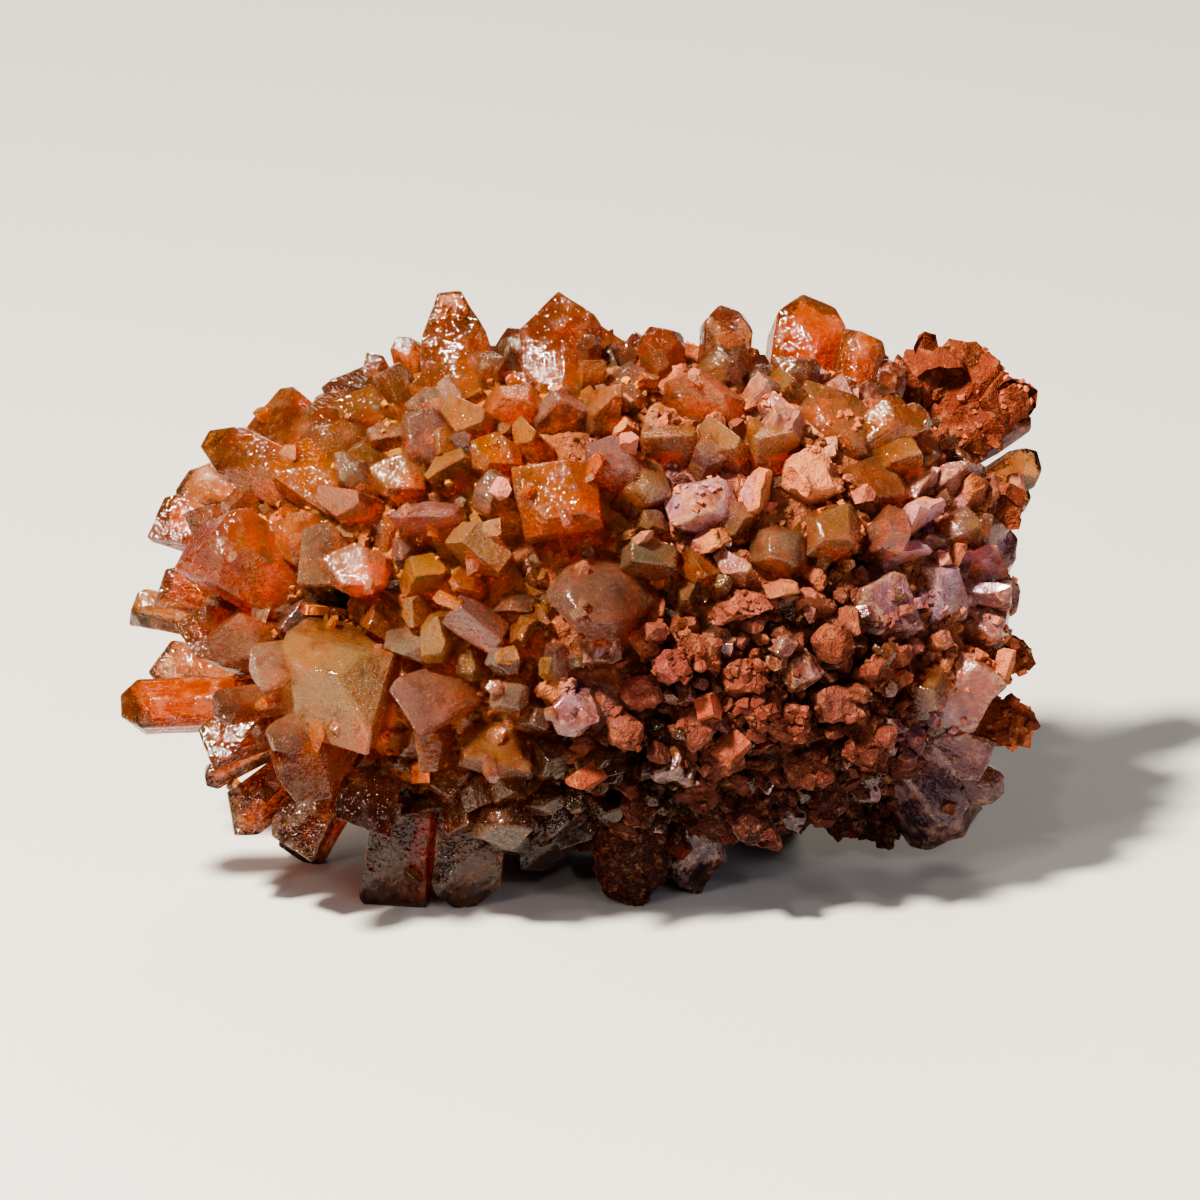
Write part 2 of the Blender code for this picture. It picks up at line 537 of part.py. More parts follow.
def main():
    """Builds the cluster as one object, standing on the table at the origin."""
    for old in list(bpy.data.objects):
        bpy.data.objects.remove(old)
    specimen = collection("creedite_cluster")
    helpers = collection("helpers")
    crystals = collection("crystals")
    for index, crystal in enumerate(list(LISTED) + grown_crystals()):
        as_cutter(grow(crystal, f"crystal_{index:03d}", crystals))
    core = make_core(helpers)
    block = table_block(helpers)
    fuse(core, crystals, block, specimen)
    bpy.data.objects.remove(core)


if __name__ == "__main__":
    main()
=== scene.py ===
"""The looks of a creedite cluster: glassy amber prisms on a lumpy core, crusted with clay.

Places in the tables are millimetres of the front view, as (across, up, toward the eye) from the
point that the view looks at, and MM turns every length into metres.
"""

import logging
import math
import random
from dataclasses import dataclass, field
from enum import Enum

import bpy
import numpy as np
from mathutils import Matrix, Vector, noise
from mathutils.bvhtree import BVHTree


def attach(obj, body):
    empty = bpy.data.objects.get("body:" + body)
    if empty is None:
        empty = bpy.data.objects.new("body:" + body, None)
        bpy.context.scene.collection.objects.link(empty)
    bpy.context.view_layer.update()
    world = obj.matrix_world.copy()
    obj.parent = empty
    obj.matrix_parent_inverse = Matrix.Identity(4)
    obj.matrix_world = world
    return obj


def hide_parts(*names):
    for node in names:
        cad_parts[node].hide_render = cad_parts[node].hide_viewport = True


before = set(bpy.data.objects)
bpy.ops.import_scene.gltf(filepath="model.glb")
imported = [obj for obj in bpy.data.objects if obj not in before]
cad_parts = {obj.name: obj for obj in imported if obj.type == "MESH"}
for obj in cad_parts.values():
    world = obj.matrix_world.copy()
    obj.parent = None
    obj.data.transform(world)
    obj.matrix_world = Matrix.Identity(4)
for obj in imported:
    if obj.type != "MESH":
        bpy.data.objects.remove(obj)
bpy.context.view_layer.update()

Socket = bpy.types.NodeSocket

LOG = logging.getLogger("creedite")
MM = 0.001
NODE = "creedite_cluster"


class Look(Enum):
    """The kinds of crystal that the cluster shows."""

    AMBER = "amber"
    HONEY = "honey"
    PEACH = "peach"
    FIRE = "fire"
    SMOKY = "smoky"
    ROSE = "rose"
    COATED = "coated"


class Family(Enum):
    """The crystals' optical kinds. Each is one piece with one finish."""

    GLASSY = "amber_crystals"
    CLEAR = "smoky_crystals"
    SATIN = "rosy_crystals"
    CLAY = "coated_crystals"


AMBER, HONEY, PEACH, FIRE = Look.AMBER, Look.HONEY, Look.PEACH, Look.FIRE
SMOKY, ROSE, COATED = Look.SMOKY, Look.ROSE, Look.COATED

FAMILY_OF = {
    AMBER: Family.GLASSY,
    HONEY: Family.GLASSY,
    PEACH: Family.GLASSY,
    FIRE: Family.GLASSY,
    SMOKY: Family.CLEAR,
    ROSE: Family.SATIN,
    COATED: Family.CLAY,
}


@dataclass(frozen=True)
class Habit:
    """How a family's crystals are moulded and worn. Lengths are shares of a half-width or mm."""

    edge: float
    segments: int
    cell: float
    sway: float
    chip: float
    pock: float = 0.0


HABITS = {
    Family.GLASSY: Habit(edge=0.04, segments=1, cell=0.36, sway=0.07, chip=0.035),
    Family.CLEAR: Habit(edge=0.06, segments=1, cell=0.36, sway=0.07, chip=0.035),
    Family.SATIN: Habit(edge=0.2, segments=2, cell=0.33, sway=0.24, chip=0.14),
    Family.CLAY: Habit(edge=0.2, segments=1, cell=0.24, sway=0.26, chip=0.18, pock=0.12),
}

# Colours of a crystal at its root, its middle and its tip.
TINTS = {
    AMBER: ((0.62, 0.16, 0.025), (0.92, 0.36, 0.075), (0.94, 0.48, 0.15)),
    HONEY: ((0.62, 0.17, 0.026), (0.94, 0.40, 0.085), (0.95, 0.54, 0.18)),
    PEACH: ((0.62, 0.16, 0.035), (0.94, 0.36, 0.11), (0.95, 0.50, 0.20)),
    FIRE: ((0.78, 0.14, 0.015), (0.98, 0.27, 0.03), (0.98, 0.28, 0.03)),
    SMOKY: ((0.64, 0.22, 0.08), (0.92, 0.55, 0.31), (0.95, 0.70, 0.50)),
    ROSE: ((0.22, 0.06, 0.03), (0.40, 0.125, 0.07), (0.46, 0.18, 0.12)),
    COATED: ((0.16, 0.038, 0.018), (0.33, 0.088, 0.042), (0.46, 0.15, 0.07)),
}
SMOKE_TINT = (0.06, 0.08, 0.045)

# Where the painted lilac sheen lies in the front view, as (across, up, radius).
LILAC_SHEEN_PATCHES = (
    (17.0, 1.6, 4.8),
    (5.0, 5.2, 3.2),
    (17.0, -7.0, 2.6),
    (-0.6, -5.4, 2.0),
    (21.4, 6.2, 2.4),
)
# Colour of the painted lilac sheen.
LILAC_SHEEN_TINT = (0.45, 0.27, 0.40)

# Seed of mathutils' vector noise, which would otherwise start from the clock.
NOISE_SEED = 11

# Edges sharper than these, in degrees, stay crisp.
SKIN_CRISP = 50.0
CRYSTAL_CRISP = 20.0
DRUSE_CRISP = 25.0
CRUMB_CRISP = 30.0


@dataclass(frozen=True)
class Crystal:
    """One crystal, placed in the front view. Smoke is the share of dark inclusions at its tip."""

    tip: tuple
    foot: tuple
    width: float
    thickness: float
    twist: float = 0.0
    head: str = "chisel"
    look: Look = AMBER
    smoke: float = 0.0
    sides: int = 6


LEFT_FAN = (
    Crystal((-16.8, 9.7, 0.0), (-11.0, 5.2, 4.6), 3.3, 2.6, 10, "wedge", HONEY, 0.3),
    Crystal((-19.7, 8.0, 1.8), (-12.3, 4.3, 6.2), 3.1, 2.6, 0, "taper", HONEY, 0.9),
    Crystal((-16.4, 7.5, 5.4), (-11.4, 4.0, 6.6), 3.0, 2.4, 25, "slant", FIRE),
    Crystal((-20.7, 5.9, -4.0), (-14.0, 3.6, -3.0), 3.2, 2.4, 0, "knob", SMOKY, 0.5),
    Crystal((-22.2, 4.3, -1.0), (-15.0, 1.6, -1.0), 2.5, 2.2, 20, "wedge", PEACH),
    Crystal((-20.9, 4.3, 2.0), (-14.5, 1.6, 1.0), 2.6, 2.1, -10, "peak", PEACH, 0.2),
    Crystal((-19.7, 3.3, 6.8), (-13.2, -0.9, 3.0), 4.3, 3.7, 15, "blunt", FIRE),
    Crystal((-22.0, 0.8, 0.8), (-15.5, -1.2, 0.5), 2.1, 1.8, 0, "wedge", PEACH),
    Crystal((-23.3, -0.3, -2.2), (-16.0, -1.8, -2.0), 2.0, 1.7, 0, "blunt", SMOKY, 0.8),
    Crystal((-21.3, -1.2, 3.4), (-14.8, -3.2, 2.2), 2.9, 2.3, 12, "peak", PEACH),
    Crystal((-19.6, -1.6, 6.0), (-13.6, -2.8, 3.4), 3.0, 2.3, -20, "slant", PEACH),
    Crystal((-22.5, -3.1, -1.8), (-16.0, -3.9, -2.0), 2.6, 2.2, 0, "slant", SMOKY, 0.4),
    Crystal((-24.0, -5.4, 3.4), (-15.0, -5.0, 3.0), 2.7, 2.4, 18, "chisel", AMBER, 0.7),
    Crystal((-19.8, -7.3, 5.4), (-14.5, -5.6, 4.0), 2.4, 2.0, 30, "wedge", PEACH),
    Crystal((-19.2, -5.5, 8.6), (-15.0, -4.6, 5.5), 1.9, 1.6, 0, "knob", SMOKY),
    Crystal((-19.7, -9.0, 3.0), (-16.2, -7.2, 2.2), 1.4, 1.2, 0, "knob", SMOKY),
    Crystal((-18.6, -11.3, 2.6), (-13.5, -7.2, 2.0), 2.7, 2.1, 0, "slant", AMBER),
    Crystal((-15.6, -12.4, 4.4), (-12.5, -7.5, 3.4), 2.8, 2.2, 20, "wedge", HONEY),
)

BIG_BLOCKS = (
    Crystal((-13.9, -4.9, 11.0), (-11.0, -1.9, 1.5), 6.4, 5.4, 30, "blunt", PEACH, 0.0, 4),
    Crystal((-17.3, -3.4, 10.6), (-12.9, -2.6, 7.2), 2.9, 1.4, 35, "blunt", SMOKY),
    Crystal((-15.6, -9.6, 10.4), (-12.4, -4.8, 5.8), 4.6, 2.7, -28, "chisel", FIRE),
    Crystal((-16.4, -7.2, 10.8), (-12.6, -5.2, 7.0), 2.2, 1.3, 10, "knob", SMOKY),
    Crystal((-8.2, -9.9, 7.2), (-7.2, -5.2, 3.6), 4.2, 3.0, 12, "slant", AMBER),
    Crystal((-12.0, -11.4, 6.6), (-10.6, -6.4, 3.4), 3.6, 2.6, 0, "wedge", AMBER),
)

CROWN = (
    Crystal((-12.9, 10.5, 4.0), (-8.6, 6.6, 2.6), 2.9, 2.3, 0, "slant", AMBER),
    Crystal((-11.7, 12.4, 2.2), (-8.8, 7.8, 1.4), 1.5, 1.2, 0, "peak", PEACH),
    Crystal((-9.8, 13.1, 1.0), (-8.6, 8.0, 0.6), 2.0, 1.7, 0, "knob", HONEY, 0.2),
    Crystal((-7.6, 15.3, 2.4), (-6.6, 8.2, 4.4), 4.4, 3.2, -8, "taper", HONEY, 0.6),
    Crystal((-5.4, 12.2, 5.2), (-5.2, 8.2, 2.8), 1.8, 1.5, 20, "blunt", HONEY),
    Crystal((-2.1, 15.5, 3.2), (-1.9, 8.4, 5.0), 5.0, 3.2, 6, "peak", AMBER),
    Crystal((0.6, 13.6, 0.4), (0.2, 8.2, 0.2), 3.4, 2.6, 0, "slant", PEACH),
    Crystal((-0.5, 13.3, 5.2), (-0.9, 8.8, 2.8), 1.4, 1.1, 0, "knob", PEACH),
    Crystal((-0.3, 12.0, 6.6), (-0.8, 8.4, 3.6), 1.6, 1.2, 30, "wedge", HONEY),
    Crystal((3.0, 13.6, 3.6), (3.4, 8.4, 1.8), 2.8, 2.2, 0, "knob", HONEY),
    Crystal((6.4, 14.6, 2.6), (5.9, 8.6, 1.2), 3.0, 2.4, 12, "knob", SMOKY, 0.5),
    Crystal((10.8, 14.7, -3.0), (9.6, 8.0, -2.0), 4.9, 3.8, 10, "knob", PEACH),
    Crystal((13.3, 13.2, -1.0), (11.8, 8.0, -0.8), 2.8, 2.2, 0, "blunt", PEACH),
    Crystal((14.7, 11.8, -1.4), (13.0, 7.2, -1.2), 2.3, 2.0, 30, "blunt", ROSE),
    Crystal((16.3, 12.2, -4.2), (14.8, 7.4, -3.4), 2.6, 2.2, 0, "blunt", COATED),
)

BROW = (
    Crystal((-8.4, 9.9, 6.6), (-7.4, 7.2, 1.6), 3.0, 2.3, 8, "blunt", SMOKY),
    Crystal((-6.5, 10.2, 6.2), (-6.0, 7.4, 2.0), 2.0, 1.5, 30, "wedge", HONEY),
    Crystal((-11.0, 8.4, 6.8), (-9.2, 6.2, 2.4), 3.2, 2.1, -10, "slant", AMBER),
    Crystal((-4.4, 10.4, 7.8), (-4.2, 6.4, 3.4), 3.6, 2.8, 15, "knob", AMBER),
    Crystal((-5.2, 7.4, 9.8), (-4.8, 5.6, 4.8), 2.9, 2.3, 0, "blunt", FIRE),
    Crystal((-1.4, 10.2, 8.2), (-2.2, 6.4, 3.8), 4.1, 2.5, 20, "slant", SMOKY),
    Crystal((-10.2, 6.2, 9.0), (-9.0, 4.8, 3.8), 3.0, 2.4, 0, "blunt", PEACH),
    Crystal((-7.6, 6.7, 9.6), (-7.0, 5.2, 4.8), 2.8, 2.2, 40, "wedge", HONEY),
    Crystal((-5.5, 5.5, 10.8), (-5.0, 4.6, 5.8), 2.6, 2.0, 60, "knob", SMOKY),
    Crystal((0.7, 7.2, 10.6), (0.6, 5.2, 5.4), 3.3, 2.5, 0, "blunt", SMOKY),
    Crystal((3.6, 8.2, 9.6), (3.2, 5.8, 4.6), 3.3, 2.5, 20, "wedge", PEACH),
    Crystal((5.6, 11.0, 7.6), (4.2, 6.2, 3.0), 5.1, 2.3, -12, "knob", PEACH),
)

FACE = (
    Crystal((-2.2, 5.2, 12.4), (-1.6, 4.4, 6.8), 4.6, 4.0, 8, "blunt", FIRE, 0.0, 4),
    Crystal((-8.8, 4.2, 11.0), (-7.8, 3.2, 5.6), 4.1, 2.2, 6, "wedge", SMOKY),
    Crystal((-6.2, 2.8, 12.0), (-5.6, 2.0, 6.6), 3.8, 2.6, -33, "slant", PEACH),
    Crystal((-12.4, 1.5, 9.8), (-10.8, 1.2, 5.2), 3.4, 2.8, 0, "blunt", PEACH),
    Crystal((-9.2, 1.2, 11.0), (-8.4, 1.0, 6.0), 3.1, 2.5, 40, "peak", AMBER),
    Crystal((-1.4, -0.7, 13.6), (2.0, 1.2, 7.8), 5.0, 2.9, 24, "knob", SMOKY),
    Crystal((2.2, 2.2, 12.0), (3.0, 1.6, 7.0), 3.4, 2.4, 0, "slant", SMOKY),
    Crystal((-9.9, -5.5, 11.6), (-6.2, -4.0, 7.0), 3.6, 2.3, 22, "wedge", SMOKY, 0.3),
    Crystal((-4.9, -3.1, 12.4), (-4.4, -2.8, 7.4), 2.0, 1.6, -20, "knob", SMOKY),
    Crystal((-4.6, -4.9, 12.2), (-4.2, -4.2, 7.0), 2.3, 1.9, 0, "knob", SMOKY),
    Crystal((-3.4, -6.2, 11.4), (-3.0, -5.0, 6.4), 1.9, 1.6, 0, "peak", SMOKY),
    Crystal((-1.3, -5.9, 11.6), (-1.2, -4.8, 6.6), 2.8, 2.3, 25, "blunt", ROSE),
    Crystal((-5.3, -8.2, 9.8), (-5.0, -5.8, 4.8), 4.2, 2.9, 0, "wedge", AMBER),
    Crystal((5.2, 5.0, 10.6), (4.8, 4.0, 6.2), 4.3, 3.1, 15, "knob", ROSE),
    Crystal((7.2, -0.5, 11.0), (7.4, 0.2, 7.0), 3.8, 1.4, 14, "slant", COATED),
)

RIGHT_FACE = (
    Crystal((12.1, 9.2, 6.2), (11.0, 6.0, 1.8), 5.8, 3.8, -12, "blunt", PEACH),
    Crystal((16.0, 8.4, 3.2), (14.4, 6.0, -0.8), 4.1, 3.5, 10, "knob", COATED),
    Crystal((10.8, 6.4, 9.0), (10.0, 5.0, 4.2), 3.6, 2.9, 0, "blunt", COATED),
    Crystal((14.0, 5.9, 7.0), (12.9, 4.6, 2.6), 4.4, 3.0, 8, "blunt", AMBER),
    Crystal((11.6, 3.6, 9.6), (11.0, 2.8, 5.0), 3.9, 3.2, 20, "knob", HONEY),
    Crystal((9.0, 2.6, 10.4), (8.6, 2.2, 6.0), 3.4, 2.8, 0, "knob", SMOKY),
    Crystal((17.6, 0.6, 5.8), (15.0, 0.4, 2.2), 5.5, 4.0, 18, "knob", ROSE),
    Crystal((14.9, -0.4, 7.8), (13.2, -0.4, 3.6), 4.6, 3.8, 0, "blunt", ROSE),
    Crystal((11.9, -2.2, 9.8), (11.2, -2.0, 5.6), 2.4, 2.1, 25, "blunt", COATED),
    Crystal((14.2, -3.6, 8.2), (13.2, -3.0, 4.0), 2.2, 2.0, 10, "blunt", COATED),
    Crystal((16.2, 3.8, 5.6), (14.6, 3.0, 1.8), 3.8, 3.2, 0, "slant", AMBER),
    Crystal((7.4, -4.0, 10.4), (7.0, -3.4, 6.0), 2.4, 2.0, 0, "knob", COATED),
    Crystal((3.6, -3.4, 11.6), (3.4, -3.0, 7.2), 2.1, 1.9, 30, "blunt", COATED),
    Crystal((1.3, -6.9, 10.8), (1.2, -5.6, 6.0), 2.1, 1.9, 0, "knob", COATED),
    Crystal((9.6, -6.4, 8.8), (9.0, -5.0, 4.4), 2.5, 2.1, 15, "blunt", COATED),
    Crystal((4.8, -6.6, 9.8), (4.6, -5.2, 5.2), 2.5, 2.1, 45, "knob", COATED),
)

LOWER_LUMPS = (
    Crystal((0.0, -2.6, 11.0), (0.0, -2.4, 8.0), 2.2, 1.8, 10, "knob", ROSE, 0.0, 4),
    Crystal((-2.1, -4.6, 10.7), (-2.0, -4.0, 7.6), 2.0, 1.7, 40, "blunt", COATED, 0.0, 4),
    Crystal((2.6, -2.0, 11.1), (2.5, -1.8, 8.0), 2.1, 1.8, 25, "slant", COATED, 0.0, 4),
    Crystal((5.1, -2.6, 10.6), (4.9, -2.2, 7.4), 2.4, 2.0, 0, "blunt", COATED, 0.0, 4),
    Crystal((2.1, -4.8, 10.4), (2.0, -4.2, 7.2), 2.2, 1.9, 15, "blunt", COATED, 0.0, 4),
    Crystal((10.1, -3.6, 9.6), (9.6, -3.2, 6.4), 2.3, 2.0, 35, "knob", ROSE, 0.0, 4),
    Crystal((8.1, -5.6, 9.6), (7.8, -4.8, 6.2), 2.3, 1.9, 20, "blunt", COATED, 0.0, 4),
    Crystal((12.1, -5.4, 8.8), (11.4, -4.6, 5.4), 2.4, 2.0, 0, "blunt", COATED, 0.0, 4),
    Crystal((6.2, -8.6, 8.4), (5.8, -6.8, 5.2), 2.4, 2.0, 10, "knob", COATED, 0.0, 4),
    Crystal((3.4, -8.8, 8.6), (3.2, -7.0, 5.4), 2.3, 1.9, 30, "slant", ROSE, 0.0, 4),
    Crystal((13.4, -7.6, 7.2), (12.4, -6.2, 4.2), 2.4, 2.0, 20, "blunt", COATED, 0.0, 4),
    Crystal((10.4, -8.8, 7.0), (9.6, -7.0, 4.0), 2.6, 2.1, 0, "blunt", COATED, 0.0, 4),
)

RIGHT_END = (
    Crystal((19.2, 12.3, -5.0), (16.4, 6.2, -4.2), 4.2, 3.4, 0, "knob", COATED),
    Crystal((20.9, 10.6, -4.2), (17.0, 6.4, -3.8), 2.8, 2.3, 0, "blunt", COATED),
    Crystal((21.6, 9.2, -4.6), (17.6, 6.6, -4.2), 1.5, 1.3, 0, "peak", ROSE),
    Crystal((21.8, 7.0, -6.2), (16.6, 3.8, -4.6), 2.5, 2.0, 15, "knob", SMOKY, 0.4),
    Crystal((21.3, 5.4, -6.6), (16.4, 3.2, -4.8), 2.1, 1.8, 0, "knob", SMOKY, 0.2),
    Crystal((20.7, 2.6, 0.4), (15.6, 1.6, 0.0), 3.9, 3.1, 0, "knob", ROSE),
    Crystal((20.9, 0.2, 1.2), (15.8, 0.0, 0.6), 3.1, 2.6, 20, "knob", ROSE),
    Crystal((20.3, -1.3, 3.0), (15.4, -1.2, 1.6), 2.6, 2.1, 0, "blunt", ROSE),
    Crystal((21.8, -3.1, 0.4), (16.0, -1.9, 0.4), 3.3, 2.6, -12, "peak", COATED),
    Crystal((20.3, -4.9, 4.2), (14.8, -3.8, 2.6), 4.8, 3.6, 22, "slant", ROSE),
    Crystal((21.2, -6.4, 0.6), (15.8, -5.0, 0.4), 2.7, 2.2, 0, "blunt", COATED),
    Crystal((19.4, -8.2, 2.2), (14.6, -5.8, 1.4), 2.9, 2.3, 20, "wedge", ROSE),
    Crystal((19.7, -9.9, -3.6), (14.8, -6.2, -2.6), 2.6, 2.1, 0, "knob", ROSE),
)

FEET = (
    Crystal((-10.4, -15.9, 0.4), (-9.4, -7.6, 2.2), 4.0, 3.2, 12, "wedge", AMBER),
    Crystal((-6.8, -15.9, 0.6), (-6.2, -8.0, 2.2), 4.4, 3.4, 0, "peak", AMBER),
    Crystal((-4.6, -12.6, 4.2), (-4.6, -7.6, 3.0), 2.7, 2.2, 0, "blunt", SMOKY),
    Crystal((1.7, -15.9, 0.2), (1.4, -8.0, 1.8), 4.4, 3.4, 15, "peak", COATED),
    Crystal((5.0, -15.0, -0.8), (4.2, -8.0, 0.6), 3.8, 3.0, 0, "peak", ROSE),
    Crystal((7.8, -12.1, 5.6), (7.0, -7.0, 3.4), 2.5, 2.1, 0, "blunt", COATED),
    Crystal((2.0, -11.5, 6.8), (1.9, -7.4, 4.0), 2.3, 1.9, 0, "peak", COATED),
    Crystal((17.6, -11.6, -4.4), (13.4, -5.6, -1.8), 4.8, 4.0, 10, "blunt", ROSE),
    Crystal((12.2, -11.7, -2.6), (11.8, -6.8, -1.0), 2.4, 2.0, 0, "knob", COATED),
    Crystal((14.1, -11.9, -4.0), (13.2, -7.0, -2.0), 2.2, 1.8, 30, "blunt", COATED),
    Crystal((-9.0, -12.4, -8.6), (-7.6, -5.4, -4.6), 4.2, 3.4, 20, "blunt", AMBER),
    Crystal((8.4, -11.9, -10.2), (6.6, -5.0, -5.0), 4.2, 3.4, 0, "blunt", ROSE),
    Crystal((-15.2, -12.9, -4.6), (-11.0, -6.2, -3.0), 3.2, 2.6, 0, "wedge", AMBER),
)

LISTED = (
    LEFT_FAN + BIG_BLOCKS + CROWN + BROW + FACE + RIGHT_FACE + LOWER_LUMPS + RIGHT_END + FEET
)

HEADS = {
    "chisel": (
        ((0.0, 0.74, 0.67), (0.0, 0.0, 0.0)),
        ((0.0, -0.74, 0.67), (0.0, 0.0, 0.0)),
        ((0.85, 0.0, 0.53), (0.42, 0.0, 0.0)),
        ((-0.8, 0.1, 0.6), (-0.3, 0.0, 0.0)),
    ),
    "slant": (
        ((0.5, 0.25, 0.83), (-0.35, 0.0, 0.0)),
        ((-0.82, 0.15, 0.55), (-0.35, 0.0, 0.0)),
        ((0.1, -0.88, 0.46), (-0.3, -0.2, 0.0)),
    ),
    "blunt": (
        ((0.16, 0.1, 0.98), (0.0, 0.0, 0.0)),
        ((0.78, 0.2, 0.6), (0.5, 0.0, -0.1)),
        ((-0.66, -0.45, 0.6), (-0.5, -0.2, 0.05)),
        ((0.1, -0.8, 0.6), (0.0, -0.55, 0.0)),
    ),
    "peak": (
        ((0.74, 0.25, 0.62), (0.0, 0.0, 0.0)),
        ((-0.7, 0.5, 0.52), (0.0, 0.0, 0.0)),
        ((-0.25, -0.82, 0.5), (0.0, 0.0, 0.0)),
    ),
    "wedge": (
        ((0.12, 0.55, 0.83), (0.0, 0.0, 0.0)),
        ((-0.12, -0.88, 0.46), (0.0, 0.0, 0.0)),
        ((0.88, 0.0, 0.47), (0.62, 0.0, 0.0)),
    ),
    "knob": (
        ((0.3, 0.2, 0.93), (0.0, 0.0, 0.0)),
        ((0.8, -0.1, 0.58), (0.45, 0.0, -0.1)),
        ((-0.75, 0.25, 0.6), (-0.4, 0.1, -0.05)),
        ((0.0, 0.85, 0.52), (0.0, 0.5, -0.1)),
        ((-0.1, -0.85, 0.52), (0.0, -0.45, 0.0)),
    ),
    "taper": (
        ((0.1, 0.06, 0.99), (0.0, 0.0, 0.0)),
        ((0.92, 0.12, 0.38), (0.26, 0.0, 0.0)),
        ((-0.94, 0.1, 0.33), (-0.24, 0.0, 0.0)),
        ((0.1, 0.9, 0.42), (0.0, 0.16, 0.0)),
        ((-0.06, -0.92, 0.38), (0.0, -0.18, 0.0)),
    ),
}
GROWN_HEADS = ("blunt", "chisel", "peak", "slant", "wedge")


def smooth_step(low: float, high: float, value: np.ndarray) -> np.ndarray:
    """Blend from 0 at low to 1 at high with flat ends.

    Args:
        low: Where the blend starts.
        high: Where the blend ends. It may lie below low.
        value: The values to blend.

    Returns:
        An array of shares from 0 to 1.
    """
    share = np.clip((value - low) / (high - low), 0.0, 1.0)
    return share * share * (3.0 - 2.0 * share)


def clamp(value: float) -> float:
    """Keep a share between 0 and 1."""
    return min(1.0, max(0.0, value))


def noise_field(points: np.ndarray, size: float, shift: float = 0.0) -> np.ndarray:
    """Read smooth vector noise at many points.

    Args:
        points: Places in millimetres, one row each.
        size: Width of the noise's features in millimetres.
        shift: Offset that gives another, unrelated field.

    Returns:
        One row of three values, about -1 to 1, for each point.
    """
    scaled = points / size + shift
    return np.array([noise.noise_vector(Vector(row)) for row in scaled.tolist()])


@dataclass(frozen=True)
class FrontView:
    """The tilted front view that the crystals were laid out in."""

    tilt: float = math.radians(20.0)
    distance: float = 400.0
    aim: tuple = (0.68, 0.81, 14.1)

    def up_way(self) -> Vector:
        """Direction of the view's up, in the object's frame."""
        return Vector((0.0, math.sin(self.tilt), math.cos(self.tilt)))

    def toward_way(self) -> Vector:
        """Direction from the object to the eye."""
        return Vector((0.0, -math.cos(self.tilt), math.sin(self.tilt)))

    def to_object(self, place: tuple) -> Vector:
        """Turn a place in the view into a point of the object.

        Args:
            place: Across, up and toward the eye, in millimetres.

        Returns:
            The point in millimetres.
        """
        across, up, toward = place
        shrink = (self.distance - toward) / self.distance
        flat = Vector((across, 0.0, 0.0)) + self.up_way() * up
        return Vector(self.aim) + flat * shrink + self.toward_way() * toward

    def from_object(self, point: Vector) -> tuple:
        """Turn a point of the object into a place in the view.

        Args:
            point: The point in millimetres.

        Returns:
            Across, up and toward the eye, in millimetres.
        """
        offset = point - Vector(self.aim)
        toward = offset.dot(self.toward_way())
        enlarge = self.distance / (self.distance - toward)
        return (offset.x * enlarge, offset.dot(self.up_way()) * enlarge, toward)

    def many_from_object(self, points: np.ndarray) -> np.ndarray:
        """Turn many points of the object, one row each, into places in the view.

        Args:
            points: Places in millimetres, one row each.

        Returns:
            Across, up and toward the eye for each point, in millimetres.
        """
        offset = points - np.array(self.aim)
        toward = offset @ np.array(self.toward_way())
        enlarge = self.distance / (self.distance - toward)
        across = offset[:, 0] * enlarge
        up = offset @ np.array(self.up_way()) * enlarge
        return np.stack([across, up, toward], axis=1)


VIEW = FrontView()


def painted_sheen_at(points: np.ndarray) -> np.ndarray:
    """Say how strong the painted lilac sheen is that lies on a few patches of the front.

    Args:
        points: Places in millimetres, one row each.

    Returns:
        One share for each point.
    """
    places = VIEW.many_from_object(points)
    share = np.zeros(len(points))
    for across, up, radius in LILAC_SHEEN_PATCHES:
        away = np.hypot(places[:, 0] - across, places[:, 1] - up)
        share = np.maximum(share, smooth_step(radius, radius * 0.35, away))
    share *= places[:, 2] > 0.0
    if share.any():
        share *= smooth_step(-0.25, 0.2, noise_field(points, 1.1, 17.0)[:, 0])
    return share[:, None]


